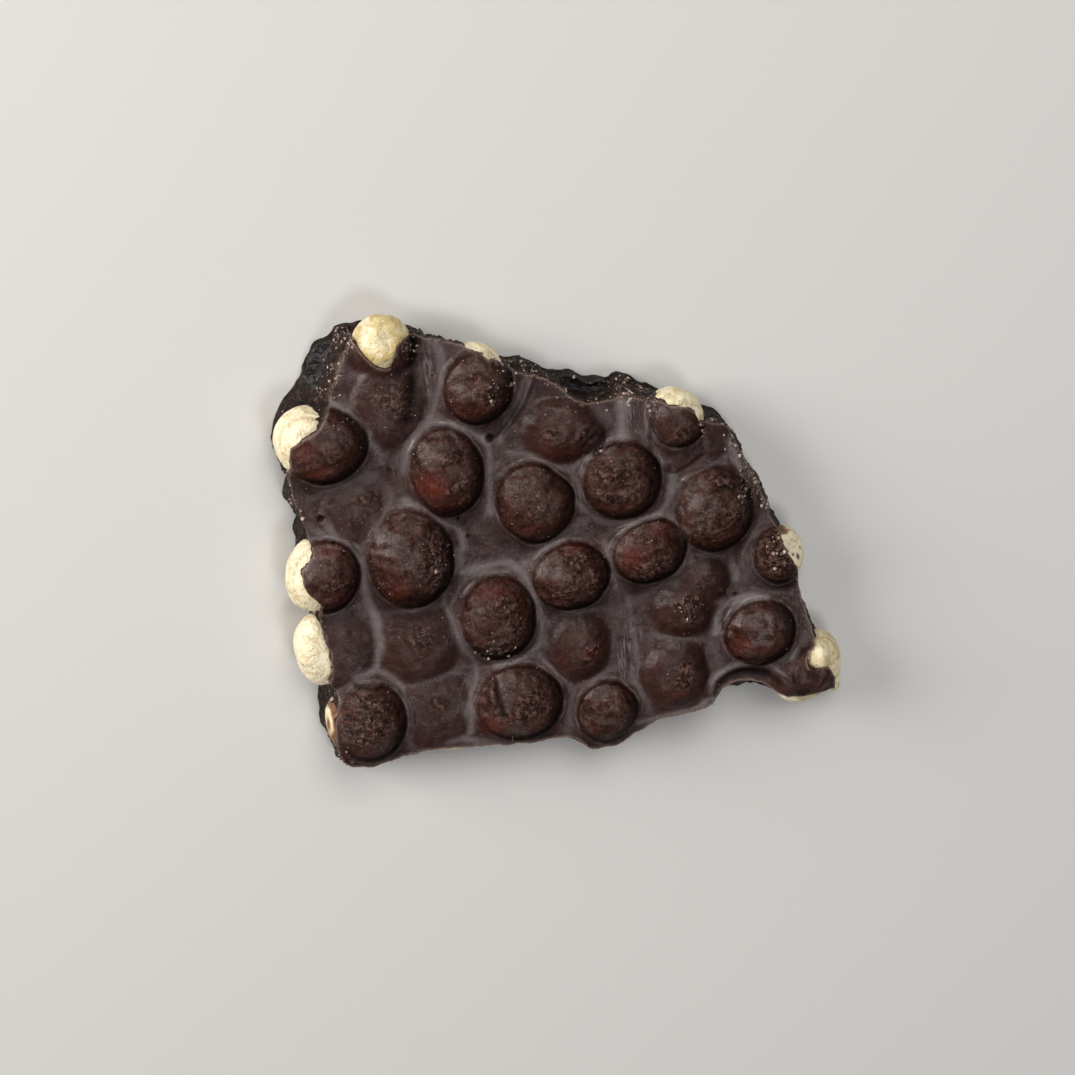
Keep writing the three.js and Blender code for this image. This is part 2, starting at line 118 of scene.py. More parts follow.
LEFT_RUNGS = (
    (-47.0, -41.5, -47.4, -43.2), (-48.0, -37.7, -48.9, -38.4), (-47.6, -32.0, -49.8, -32.6),
    (-46.9, -27.6, -49.3, -28.0), (-47.4, -25.7, -49.1, -25.9), (-48.2, -24.3, -49.2, -24.2),
    (-47.5, -22.6, -49.0, -22.4), (-47.4, -19.9, -48.8, -19.9), (-47.5, -17.6, -48.8, -17.6),
    (-48.2, -15.6, -49.2, -15.4), (-48.1, -13.6, -49.4, -13.2), (-49.0, -11.6, -49.9, -11.0),
    (-48.9, -9.3, -50.2, -8.8), (-48.5, -7.4, -50.0, -6.8), (-49.4, -5.9, -50.3, -4.9),
    (-50.9, -4.3, -51.0, -3.3), (-51.7, -2.2, -51.6, -1.2), (-51.5, 0.0, -51.7, 0.4),
    (-50.4, 1.5, -51.4, 1.8), (-49.3, 2.9, -50.8, 3.4), (-49.4, 5.0, -51.2, 5.2), (-49.9, 8.2, -50.3, 8.0),
    (-50.6, 11.0, -52.6, 11.4), (-51.5, 13.6, -52.6, 13.4), (-51.9, 16.0, -51.6, 16.4),
    (-52.1, 18.8, -53.2, 19.4), (-51.9, 22.1, -53.6, 22.6), (-51.6, 24.6, -53.8, 24.8),
    (-50.7, 25.6, -53.3, 26.6), (-49.5, 26.5, -52.9, 28.2), (-48.0, 27.2, -52.4, 29.4),
    (-46.3, 28.2, -51.6, 30.7), (-44.8, 29.4, -50.4, 32.0), (-43.9, 30.6, -49.0, 33.2),
    (-43.2, 32.2, -47.9, 34.4), (-42.3, 34.4, -46.8, 36.4), (-41.5, 36.6, -46.0, 38.4),
    (-40.7, 38.8, -45.2, 40.4), (-39.8, 41.0, -43.6, 41.9), (-39.0, 42.6, -41.4, 42.5),
    (-38.4, 43.6, -40.4, 43.4), (-38.0, 44.6, -39.8, 44.4),
)

# A hazelnut under the coat: x and y of its middle, breadth and length of its dome at web height, turn in
# degrees, crest height, fillet, how dusty, how red and how wrinkled its coat is, and its foot's reach in
# eight ways, anticlockwise from +X, in per cent of that breadth and length.
Nut = namedtuple("Nut", "x y breadth length turn crest fillet dust red wrinkle reach", defaults=((100,) * 8,))

# The hazelnuts under the coat, roughly from the top edge down.
NUTS = (
    Nut(-14.7, 32.2, 13.8, 14.2, 0, 14.2, 1, 0.7, 0.2, 0.9, (100, 100, 100, 95, 96, 100, 104, 104)),
    Nut(-32.4, 30.6, 13, 15.5, 0, 12.1, 2.6, 0.25, 0.1, 0.5, (103, 100, 100, 96, 98, 90, 100, 95)),
    Nut(-45.2, 24.4, 16.2, 14.6, 0, 14.6, 0.6, 0.15, 0.35, 0.5, (106, 100, 100, 100, 100, 100, 108, 106)),
    Nut(24.2, 20.6, 10.8, 10.4, 0, 12.7, 1.4, 0.3, 0.15, 1, (100, 100, 100, 100, 97, 100, 100, 100)),
    Nut(1, 21.3, 15, 12.6, -12, 12.5, 2.6, 0.25, 0.2, 0.8, (97, 93, 95, 102, 97, 97, 97, 95)),
    Nut(6.4, 19.4, 6.4, 6.8, 0, 12.4, 0.9, 0.3, 0.1, 0.9),
    Nut(26.6, 16.4, 13.6, 12.6, 0, 11.5, 2.4, 0.25, 0.1, 0.7, (95, 92, 100, 100, 104, 110, 107, 95)),
    Nut(-22.3, 16.3, 14.2, 18, 8, 14.7, 0.7, 0.45, 0.9, 0.7, (105, 100, 98, 95, 93, 93, 103, 106)),
    Nut(-40.9, 10, 10.7, 10.1, 0, 11.5, 2.6, 0.2, 0.2, 0.5, (100, 100, 100, 100, 100, 100, 105, 100)),
    Nut(-5.3, 8.1, 15.2, 16.6, 28, 14, 1.5, 0.2, 0.4, 0.5, (102, 87, 93, 97, 96, 100, 110, 106)),
    Nut(12, 10.1, 15.4, 15.2, 0, 14.5, 0.6, 0.55, 0.15, 1, (105, 100, 100, 95, 96, 100, 107, 110)),
    Nut(30.4, 1.9, 15.6, 17.4, 0, 14.5, 0.6, 0.75, 0.15, 1.2, (100, 97, 96, 97, 100, 100, 105, 106)),
    Nut(-47, -1.7, 13.4, 15.2, 0, 13.8, 0.6, 0.4, 0.35, 0.6, (100, 97, 91, 100, 100, 95, 100, 98)),
    Nut(-30.5, 0, 16.2, 19.2, 6, 15.2, 0.5, 0.4, 0.2, 1, (105, 100, 100, 98, 100, 105, 110, 112)),
    Nut(16.7, -5.1, 15, 12.6, 24, 14.3, 0.6, 0.6, 0.6, 0.8, (105, 97, 95, 93, 100, 100, 108, 112)),
    Nut(43.2, -9.6, 10.6, 11.8, 0, 13, 1, 0.9, 0.1, 1.8, (95, 100, 100, 100, 95, 100, 105, 100)),
    Nut(0.6, -8.5, 15, 13.8, -10, 13.9, 0.8, 0.65, 0.4, 0.7, (110, 102, 97, 95, 100, 100, 100, 108)),
    Nut(-14.4, -14.6, 14.6, 17.2, 0, 14.5, 0.7, 0.7, 0.4, 0.5, (106, 100, 95, 93, 97, 100, 108, 112)),
    Nut(-46.6, -17, 13.8, 14.4, 0, 11.4, 2.6, 0.3, 0.1, 0.5),
    Nut(27, -13.2, 10.3, 9.3, 0, 12.2, 2.4, 0.8, 0.2, 1, (107, 100, 95, 100, 100, 100, 100, 110)),
    Nut(23.3, -18.6, 11.5, 11, 0, 12.3, 2.4, 0.5, 0.2, 1, (110, 100, 100, 100, 100, 100, 104, 107)),
    Nut(-30, -18.9, 13.9, 15.1, 0, 12, 2.6, 0.35, 0.25, 0.4, (102, 100, 100, 100, 100, 100, 100, 100)),
    Nut(1.7, -23.6, 11.4, 13.2, 0, 12.3, 2.6, 0.2, 0.6, 0.5, (100, 100, 100, 95, 100, 100, 103, 104)),
    Nut(38.2, -25.7, 14.6, 13.2, 0, 14.1, 0.5, 0.1, 0.35, 0.3, (106, 103, 100, 97, 95, 98, 105, 110)),
    Nut(50, -36, 10.4, 12, 0, 12.9, 0.8, 0.3, 0.2, 0.8),
    Nut(20.8, -32.2, 12.6, 13.8, 0, 12.4, 2.6, 0.6, 0.3, 0.8, (104, 100, 100, 100, 100, 100, 103, 104)),
    Nut(-11.5, -33.3, 16.6, 15.2, -15, 14.5, 0.7, 0.55, 0.4, 1, (110, 103, 100, 100, 102, 105, 110, 112)),
    Nut(-41, -33.6, 14.2, 16.4, 0, 14.5, 0.5, 0.6, 0.25, 0.9, (100, 102, 97, 97, 98, 98, 100, 100)),
    Nut(-27.8, -33, 12.4, 13.2, 0, 11.3, 2.6, 0.3, 0.1, 0.4),
    Nut(6.2, -38.2, 12.2, 13, 0, 13.4, 1.6, 0.2, 0.3, 0.4, (108, 100, 100, 97, 95, 95, 103, 100)),
    Nut(44.8, -36.8, 9.6, 8.4, 0, 12.4, 1, 0.2, 0.1, 0.5),
    Nut(-31.8, 42.2, 12.6, 12, 0, 12.4, 2.4, 0.2, 0.1, 0.6),
)

# Hollows in the broken sides that a nut has dropped out of: middle, and half sizes along X, Y and Z.
HOLLOWS = (
    ((-52.6, 7.4, 6.2), (2.0, 1.9, 2.3)),
    ((21.5, -46.6, 5.8), (7.0, 5.6, 5.2)),
)

# Wide hollows open to above: middle of their stretch of the rim, half its length, and their section as
# shares of the way across and of the height, at LEDGE_STEPS of the way down.
LEDGE_STEPS = (0.0, 0.26, 0.40, 0.60, 0.84, 1.0)
LEDGES = (
    ((-41.9, 37.4), 6.6, (0.0, 0.30, 0.37, 0.60, 0.97, 1.0), (1.0, 0.74, 0.46, 0.31, 0.24, 0.0)),
    ((7.0, 26.4), 6.0, (0.0, 0.05, 0.12, 0.50, 0.97, 1.0), (1.0, 0.78, 0.44, 0.24, 0.42, 0.0)),
)

# Rough places where the coat has chipped: x, y, half sizes, turn in degrees, depth.
CHIPS = (
    (-27.2, 41.6, 2.3, 1.5, 15, 1.3), (43.3, -8.6, 2.6, 3.0, 0, 0.35), (36.6, 4.4, 1.3, 1.6, 0, 0.3),
    (-15.6, -22.3, 4.4, 0.5, 0, 0.5), (7.6, 16.2, 1.2, 1.2, 0, 0.4), (-41.8, -27.8, 2.6, 0.9, -12, 0.5),
)

# Scuffed, grainy patches over the nuts: x, y, half sizes, turn in degrees, strength.
SCUFFS = (
    (-31.5, 32.2, 3.2, 2.6, 0, 0.5), (-29.8, 29.4, 2.4, 2.0, 0, 0.45), (-21.4, 19.6, 2.0, 1.3, 20, 0.8),
    (-20.6, 13.4, 2.0, 1.0, 20, 0.9), (-18.3, 13.0, 1.6, 4.6, 0, 0.5), (-37.8, 12.8, 2.6, 0.9, 5, 0.6),
    (-40.4, 9.0, 2.0, 1.4, 0, 0.35), (-12.9, 31.0, 2.3, 2.6, -20, 0.95), (-15.4, 34.6, 1.8, 1.0, 0, 0.6),
    (-1.2, 21.2, 1.6, 1.3, 0, 0.5), (1.0, 19.4, 2.6, 1.4, 0, 0.35), (4.8, 20.6, 1.6, 0.7, 40, 0.7),
    (-7.0, 10.4, 3.6, 3.6, 0, 0.22), (-4.0, 5.8, 3.2, 2.6, 0, 0.4), (9.2, 7.4, 3.2, 1.4, -8, 0.9),
    (9.8, 12.2, 3.6, 2.6, 0, 0.5), (14.6, 8.8, 2.0, 3.0, 0, 0.45), (24.6, 17.6, 1.9, 1.7, 0, 0.6),
    (31.6, 7.4, 3.0, 1.4, -10, 0.7), (33.2, 0.8, 1.6, 0.8, 0, 1.0), (35.6, 0.6, 1.6, 3.4, 0, 0.65),
    (29.0, -0.6, 4.2, 4.6, 0, 0.4), (-46.0, -3.6, 3.4, 1.4, 0, 0.5), (-26.2, -1.2, 2.8, 5.6, 5, 1.0),
    (-32.6, 4.2, 3.0, 3.4, 0, 0.2), (17.6, -8.4, 4.0, 2.4, 15, 0.85), (16.0, -3.6, 3.6, 2.4, 0, 0.3),
    (43.0, -9.0, 3.4, 3.8, 0, 1.0), (1.6, -5.0, 3.0, 1.4, -20, 0.7), (5.2, -10.2, 1.2, 3.8, 0, 0.75),
    (0.2, -10.4, 3.4, 3.0, 0, 0.4), (-11.2, -15.4, 1.8, 4.0, 0, 0.6), (-13.2, -11.2, 1.6, 1.2, 0, 0.75),
    (-14.6, -20.6, 4.6, 1.2, 0, 0.7), (-17.6, -14.6, 2.6, 3.6, 0, 0.3), (23.6, -17.2, 2.6, 1.7, 0, 1.0),
    (23.8, -20.2, 1.4, 1.1, 0, 1.0), (27.4, -13.0, 2.2, 1.4, 0, 0.4), (-29.6, -17.0, 2.6, 2.8, 0, 0.5),
    (4.3, -24.6, 2.6, 0.9, 42, 0.8), (22.4, -33.4, 2.2, 2.8, 0, 0.7), (22.8, -30.2, 1.2, 0.6, 0, 0.9),
    (-8.8, -33.2, 3.0, 3.2, 0, 0.85), (-13.2, -35.6, 2.6, 2.0, 0, 0.5), (-41.6, -33.6, 4.6, 4.6, 0, 0.7),
    (-38.6, -30.0, 2.0, 1.6, 0, 0.7), (-28.2, -31.4, 2.4, 1.8, 0, 0.45), (9.2, -37.4, 1.2, 3.4, 0, 0.4),
    (4.0, -37.0, 1.0, 3.2, 0, 0.3), (-48.6, 22.4, 1.8, 2.2, 0, 0.35), (-44.2, 23.0, 2.6, 2.2, 0, 0.3),
)

# Painted warm reflections, reddish places on the flanks of the nuts: x, y, half sizes, strength.
WARM_REFLECTIONS = (
    (-47.0, 19.4, 4.0, 1.8, 0.8), (-25.4, 14.2, 2.8, 2.8, 1.0), (-20.5, 9.8, 4.6, 1.8, 0.7),
    (-48.8, 24.4, 1.6, 2.4, 0.6), (-16.4, 27.6, 4.0, 1.6, 0.5), (0.4, 17.0, 4.0, 1.6, 0.5),
    (-3.6, 2.2, 4.6, 1.6, 0.6), (13.4, 4.4, 4.6, 1.6, 0.6), (30.0, -4.6, 5.0, 1.6, 0.6),
    (-46.6, 3.6, 3.4, 1.4, 0.7), (-45.2, -6.4, 3.4, 1.8, 0.7), (-33.6, -6.6, 2.2, 2.4, 0.7),
    (12.8, -5.4, 2.0, 2.2, 0.9), (19.6, -0.8, 2.0, 1.4, 0.6), (5.4, -10.4, 1.3, 3.6, 0.7),
    (2.0, -2.6, 3.4, 1.0, 0.5), (-9.8, -13.8, 1.8, 3.6, 0.5), (-15.0, -9.2, 3.4, 1.3, 0.6),
    (4.2, -24.8, 2.4, 1.1, 1.0), (9.4, -35.2, 1.8, 2.2, 0.7), (-16.6, -37.6, 2.4, 2.2, 0.9),
    (-9.0, -39.6, 4.6, 1.3, 0.6), (34.6, -27.6, 2.6, 1.8, 0.8), (41.0, -29.2, 3.0, 1.4, 0.5),
    (-41.6, -39.8, 5.0, 1.4, 0.5), (22.4, -36.6, 3.4, 1.4, 0.5), (44.4, -13.6, 3.4, 1.2, 0.5),
)

# Polished places on the nuts: x, y, half sizes, strength.
POLISHES = (
    (37.6, -24.6, 5.6, 4.6, 0.35), (33.2, -24.4, 1.6, 1.6, 0.9), (36.0, -25.4, 3.0, 0.6, 0.6),
    (41.2, -24.8, 1.4, 1.0, 0.6), (-8.6, 8.6, 4.6, 4.6, 0.15), (-33.2, 4.2, 2.6, 3.4, 0.3),
    (-32.0, 31.6, 4.0, 4.4, 0.25), (0.0, 20.4, 5.0, 2.6, 0.25), (5.6, -38.0, 3.6, 4.0, 0.2),
)

# Relief of single nuts: x, y, half sizes, turn in degrees, height of the bulge or (below 0) of the dip.
RELIEF = (
    (-33.2, 1.0, 2.6, 6.0, 0, 0.3), (-26.4, 0.5, 1.8, 5.5, 0, -0.4), (-26.0, -6.8, 0.45, 2.0, -24, 0.4),
    (-43.8, -3.6, 1.6, 0.4, 20, 0.3), (-24.6, 17.2, 2.4, 3.2, 0, 0.3), (-19.6, 14.0, 1.6, 5.0, 0, -0.3),
    (-20.4, 13.4, 2.0, 0.5, 20, 0.4), (-9.9, 31.6, 1.4, 4.0, 0, -0.4), (-13.2, 32.0, 2.6, 3.0, 0, 0.2),
    (0.5, 19.8, 2.2, 1.6, 0, 0.4), (4.7, 20.6, 2.0, 0.5, 38, 0.6), (2.8, 22.6, 2.6, 0.8, -10, -0.4),
    (-4.0, 6.0, 3.2, 2.4, 0, 0.3), (-9.2, 12.0, 2.6, 2.6, 0, 0.2), (8.8, 7.0, 3.4, 0.5, -8, 0.3),
    (10.8, 9.0, 1.3, 0.9, 0, -0.5), (32.8, 3.3, 1.8, 1.6, 0, -0.45), (35.8, 1.4, 0.8, 3.6, 8, 0.3),
    (31.2, 7.4, 3.0, 0.8, -12, 0.25), (5.3, -9.6, 0.7, 3.6, 12, 0.5), (6.7, -9.4, 0.6, 3.4, 10, -0.5),
    (1.0, -4.6, 3.0, 0.5, -32, 0.25), (-17.6, -11.2, 3.0, 3.0, 0, 0.2), (-10.6, -15.4, 0.9, 4.0, 8, 0.3),
    (-29.6, -16.8, 3.0, 2.8, 0, 0.3), (-16.9, -31.6, 0.7, 3.6, -10, 0.7), (-18.4, -33.4, 1.1, 3.2, 0, -0.5),
    (-12.6, -33.0, 1.8, 1.4, 0, -0.6), (3.4, -37.0, 1.1, 3.0, 8, 0.3), (5.8, -37.6, 0.8, 3.2, 8, -0.3),
    (8.4, -37.6, 1.0, 3.2, 8, 0.3), (-41.8, -27.4, 2.4, 1.2, -10, -0.7), (24.0, -18.0, 2.4, 2.8, 15, 0.4),
    (28.6, -19.6, 1.1, 3.4, 14, -0.6), (33.6, -23.0, 1.5, 1.6, 0, 0.2), (36.8, -26.0, 2.4, 0.6, 0, 0.25),
    (41.0, -26.2, 1.2, 1.9, 0, 0.2), (23.0, -33.4, 2.0, 2.4, 0, 0.35), (27.2, -30.2, 0.9, 2.4, 0, -0.6),
    (31.3, -15.7, 0.5, 0.5, 0, 0.5), (32.3, -15.8, 0.5, 0.6, 0, -0.6), (-44.8, -14.8, 1.8, 3.0, 0, 0.25),
    (24.8, 17.4, 1.6, 1.6, 0, 0.3), (24.8, 17.4, 0.7, 0.7, 0, -0.3), (28.8, 16.6, 0.6, 2.6, 0, -0.25),
    (17.4, -9.0, 3.4, 2.0, 15, 0.2), (13.6, -3.0, 1.6, 2.4, 20, 0.2), (9.6, 12.4, 4.0, 3.0, 0, 0.15),
)

# Small round pits and burst bubbles in the face: x, y, radius, depth.
PITS = (
    (-12.9, 21.4, 0.8, 0.9), (-46.8, 9.5, 0.7, 0.7), (-32.9, 17.6, 0.4, 0.35), (-44.9, 4.7, 0.4, 0.35),
    (-18.6, 2.2, 0.5, 0.35), (34.0, -17.2, 0.45, 0.4), (-20.4, 6.2, 0.4, 0.3), (12.2, -24.0, 0.35, 0.3),
)

# Grooves in the face: points along the middle, half width, depth. One with a depth below 0 is a ridge.
GROOVES = (
    (((18.9, 21.3), (18.6, 16.3), (19.6, 12.6), (20.9, 10.6), (22.9, 9.7), (26.0, 11.2), (28.5, 12.9)),
     0.45, 0.4),
    (((-43.3, -25.4), (-41.8, -26.1), (-39.8, -26.8), (-37.8, -26.2)), 0.35, 0.6),
    (((-43.2, -28.6), (-41.6, -29.3), (-40.0, -30.4)), 0.25, 0.4),
    (((-15.6, -28.0), (-15.2, -31.8), (-14.8, -35.1)), 0.6, 0.6),
    (((4.8, 17.7), (5.9, 19.2), (7.1, 19.7)), 0.4, 0.5),
    (((-26.3, 43.4), (-26.6, 38.0), (-27.2, 33.0), (-28.8, 27.4)), 1.2, 0.7),
    (((-3.2, 32.0), (-5.4, 27.6), (-8.0, 24.2), (-10.2, 21.9)), 0.38, 0.35),
    (((-4.8, 31.6), (-7.0, 27.0), (-9.6, 23.6), (-11.8, 21.4)), 0.36, 0.3),
    (((31.0, -24.4), (31.5, -21.6), (33.2, -18.8)), 0.35, 0.3),
    (((34.8, 9.6), (36.4, 8.2), (38.2, 8.4)), 0.4, 0.4),
    (((27.6, -37.6), (28.6, -35.0), (31.0, -33.2), (35.0, -32.3), (39.0, -32.7), (42.2, -34.6),
      (44.4, -37.0)), 0.8, -0.8),
    (((30.4, -36.0), (33.0, -34.6), (36.0, -34.2), (39.4, -35.2), (42.0, -37.4)), 0.9, 0.6),
    (((10.4, 11.2), (13.4, 12.6), (16.6, 11.6), (18.0, 8.6)), 0.4, 0.3),
    (((29.6, 5.6), (32.4, 6.4), (35.0, 4.4), (35.4, 0.6), (33.2, -2.2)), 0.45, 0.3),
)

# Places where the web is drawn into bright upright wrinkles: x, y, half sizes, strength.
STREAKS = (
    (16.5, 22.6, 4.5, 3.2, 1.0), (37.0, 9.5, 2.6, 4.0, 1.0), (-24.0, 36.5, 1.8, 5.0, 1.0),
    (11.5, -26.5, 2.6, 6.0, 1.0),
)

# Bright bands of painted satin sheen in the web: points along the middle, half width, strength.
PAINTED_SHEEN_BANDS = (
    (((-39.9, 42.7), (-41.9, 37.0), (-43.9, 33.9), (-41.0, 30.9), (-37.6, 25.9), (-35.3, 22.8)), 1.1, 0.9),
    (((-23.2, 43.2), (-21.1, 39.0), (-21.9, 33.1), (-24.6, 26.3), (-28.7, 22.8), (-30.2, 16.9)), 0.9, 0.6),
    (((-24.6, 26.3), (-20.7, 25.8), (-15.9, 23.1), (-13.4, 20.0), (-13.7, 16.0), (-13.8, 6.6)), 0.9, 0.75),
    (((-4.7, 31.8), (-7.8, 26.1), (-11.4, 20.5)), 0.9, 0.5),
    (((-9.6, 18.3), (-5.7, 17.4), (-1.9, 15.4)), 0.9, 0.5),
    (((-30.4, 11.5), (-26.1, 7.4), (-20.5, 4.0), (-20.2, -0.8), (-21.7, 0.4), (-20.8, -3.0),
     (-23.0, -6.0)), 0.9, 0.6),
    (((-18.0, -5.2), (-12.7, -5.8), (-7.2, -4.7)), 0.8, 0.5),
    (((-45.5, 8.0), (-44.0, 5.1), (-41.5, 2.3), (-40.3, -0.7), (-39.8, -4.5), (-38.8, -9.2),
     (-37.8, -13.1), (-37.7, -17.3), (-38.6, -22.2)), 1.0, 0.75),
    (((-43.0, -23.7), (-39.4, -23.0), (-36.3, -24.3), (-33.8, -27.2)), 0.9, 0.8),
    (((-23.5, -7.2), (-24.5, -10.0), (-23.2, -14.3), (-22.4, -18.7), (-19.9, -22.8), (-18.9, -25.5),
     (-19.5, -28.4), (-21.0, -31.6), (-21.1, -38.5)), 0.9, 0.75),
    (((-20.6, -5.1), (-16.5, -4.4), (-11.8, -4.2), (-8.7, -6.3), (-7.0, -10.3), (-5.8, -15.6),
     (-5.6, -19.4), (-6.6, -22.6), (-10.8, -24.6), (-15.3, -25.2)), 0.9, 0.8),
    (((-7.8, -5.2), (-4.5, -2.7), (-0.8, -1.6)), 0.8, 0.6),
    (((-26.0, -40.3), (-22.8, -40.0), (-20.0, -41.0), (-15.3, -42.2)), 0.9, 0.6),
    (((13.6, 25.0), (13.2, 21.6), (13.0, 18.4)), 1.5, 0.95),
    (((5.6, 14.9), (7.7, 17.3), (9.8, 18.4)), 0.8, 0.8),
    (((3.1, 6.4), (8.0, 1.6), (13.9, 0.8), (19.5, 2.1), (22.1, 6.5), (22.5, 10.0)), 0.8, 0.7),
    (((-4.8, -0.8), (0.7, 0.5), (5.4, 2.6)), 0.9, 0.6),
    (((8.1, -2.6), (9.4, -7.8), (10.0, -12.1)), 0.8, 0.55),
    (((12.4, -15.2), (12.6, -22.2), (13.6, -29.6)), 0.9, 0.4),
    (((29.7, -24.6), (30.5, -20.5), (34.7, -18.3), (40.3, -18.6)), 0.9, 0.85),
    (((34.2, 14.7), (36.0, 9.5)), 1.3, 0.7),
    (((24.0, 0.1), (25.2, -3.7)), 0.6, 0.5),
    (((33.5, -8.2), (34.3, -14.0)), 1.0, 0.5),
    (((13.0, -41.9), (18.6, -41.2), (24.0, -40.8), (28.2, -38.6)), 0.8, 0.95),
    (((28.0, -37.4), (28.9, -34.8), (31.2, -33.1), (35.0, -32.3), (39.0, -32.7), (42.2, -34.6)), 0.9, 0.95),
    (((-5.9, -18.3), (-4.8, -22.7)), 0.9, 0.4),
    (((-16.4, -29.3), (-16.5, -31.9), (-15.8, -35.4)), 0.5, 0.8),
)

# Nuts that stand bare in a broken side. Name, middle, half sizes, turn in degrees, a number
# that tells its lumps apart, and how tan, how folded and how deep-seamed it is.
KERNELS = (
    ("top_left", (-31.9, 42.1, 7.9), (6.0, 5.6, 4.9), -6, 3.1, 1.0, 0.8, 0.0),
    ("top_middle", (-15.0, 33.5, 7.3), (6.2, 6.7, 5.5), -12, 5.2, 0.45, 0.5, 0.3),
    ("top_right", (24.4, 20.6, 7.2), (6.0, 5.3, 4.5), -45, 1.4, 0.4, 0.6, 0.6),
    ("left_upper", (-47.9, 24.5, 7.4), (6.5, 7.0, 5.9), -6, 2.3, 0.25, 0.9, 0.4),
    ("left_middle", (-48.3, -2.5, 7.4), (6.4, 7.8, 5.3), -6, 4.6, 0.25, 0.6, 0.2),
    ("left_lower", (-49.3, -18.7, 6.2), (5.1, 7.5, 4.6), 6, 0.9, 0.2, 0.25, 0.0),
    ("left_corner", (-42.3, -34.0, 6.7), (7.2, 7.7, 5.8), 0, 6.2, 0.5, 0.3, 0.0),
    ("right_upper", (43.5, -11.2, 7.4), (5.7, 6.4, 4.5), -5, 7.7, 0.25, 0.9, 0.8),
    ("right_lower", (52.3, -34.9, 6.4), (3.9, 6.1, 4.4), 6, 8.4, 0.6, 0.8, 0.0),
    ("bottom_right", (47.7, -39.6, 5.8), (5.5, 4.4, 4.0), 11, 2.9, 0.8, 0.4, 0.0),
    ("bottom_whole", (-24.5, -39.0, 5.6), (5.8, 4.9, 4.3), 0, 5.8, 0.3, 0.4, 0.2),
    ("bottom_cut", (-3.6, -40.0, 5.2), (5.5, 5.1, 3.9), 0, 1.9, 0.4, 0.4, 0.2),
)
COVER = 0.42                              # thickness of the coat over the bare nuts, where it still holds
CUT_PLANES = {"bottom_cut": -43.6}        # y where a kernel was broken through
# Bulges (above 0) and dents (below 0) of a kernel: way from its middle, height as a share, spread.
DENTS = {
    "top_left": (((-0.4, 0.9, 0.2), 0.02, 0.1), ((0.85, 0.6, 0.2), -0.06, 0.08),
                 ((-0.75, -0.65, 0.3), -0.06, 0.1), ((0.95, -0.5, 0.4), -0.10, 0.08),
                 ((0.1, 0.3, 1.0), -0.04, 0.05)),
    "left_lower": (((-1.0, -0.15, 0.1), -0.11, 0.05), ((-0.85, 0.5, 0.1), 0.02, 0.05),
                   ((0.3, 0.2, 1.0), -0.05, 0.1)),
    "left_upper": (((-0.93, -0.37, 0.1), -0.05, 0.04), ((-0.65, 0.75, 0.1), -0.05, 0.04),
                   ((-1.0, 0.2, 0.2), 0.03, 0.04), ((-0.5, -0.35, 0.8), -0.06, 0.03)),
    "left_middle": (((-1.0, 0.1, 0.2), -0.11, 0.035), ((-0.7, 0.7, 0.2), 0.03, 0.05),
                    ((-0.6, -0.8, 0.2), 0.03, 0.05), ((-0.8, 0.2, 0.6), -0.06, 0.03)),
    "right_upper": (((0.5, 0.2, 0.9), -0.08, 0.05),),
    "top_right": (((0.2, 0.6, 0.9), -0.07, 0.05),),
    "right_lower": (((0.6, 0.8, 0.3), -0.05, 0.04),),
}
# Folded edges of a kernel: axis and cosine of a ring round it, width, depth, and the side that it is on.
FOLDS = {
    "left_upper": (((-0.1, 0.1, 1.0), 0.6, 0.05, 0.06, (-0.7, 0.7, 0.1)),),
    "left_middle": (((0.1, 0.0, 1.0), 0.5, 0.05, 0.05, (-0.9, 0.4, 0.1)),),
    "top_right": (((0.3, 0.3, 0.9), 0.8, 0.05, 0.06, (0.6, 0.6, 0.2)),
                  ((0.0, 0.5, 0.8), 0.6, 0.04, 0.04, (-0.5, 0.8, 0.2))),
    "top_left": (((0.2, -0.2, 1.0), 0.75, 0.07, 0.03, (0.7, 0.7, 0.1)),),
    "right_lower": (((0.1, 0.3, 0.9), 0.7, 0.05, 0.05, (0.8, 0.3, 0.1)),),
}
# Dark pocks in a kernel: way from its middle, and width as a share of its size.
POCKS = {
    "left_lower": (((-0.75, -0.16, 0.62), 0.055), ((0.32, -0.35, 0.85), 0.035), ((0.34, 0.45, 0.82), 0.06)),
    "top_right": (((0.6, 0.45, 0.65), 0.055), ((-0.1, 0.5, 0.85), 0.03)),
    "top_middle": (((0.1, 0.8, 0.55), 0.05), ((0.45, 0.65, 0.6), 0.04), ((-0.15, 0.72, 0.68), 0.07)),
    "left_upper": (((0.0, 0.35, 0.93), 0.025),),
    "right_upper": (((0.65, 0.1, 0.75), 0.09), ((0.75, 0.35, 0.55), 0.07), ((0.6, -0.3, 0.7), 0.08),
                    ((0.45, 0.2, 0.85), 0.06)),
    "left_middle": (((-0.5, -0.45, 0.74), 0.02),),
}
# Brown skin left on a kernel: way from its middle, and the cosine of the patch's reach. -1 covers it all.
SKINS = {"left_corner": ((0.0, 0.0, 1.0), -1.0), "right_upper": ((-0.25, 0.95, 0.15), 0.87),
         "bottom_right": ((0.9, -0.3, 0.4), 0.8), "top_middle": ((-0.5, 0.7, 0.5), 0.93)}
# More lobes of a kernel that split: middle, half sizes, turn.
LOBES = {"right_lower": (((50.7, -33.4, 8.5), (3.0, 4.0, 3.7), 0), ((54.3, -39.4, 5.6), (1.8, 3.4, 3.0), 8))}

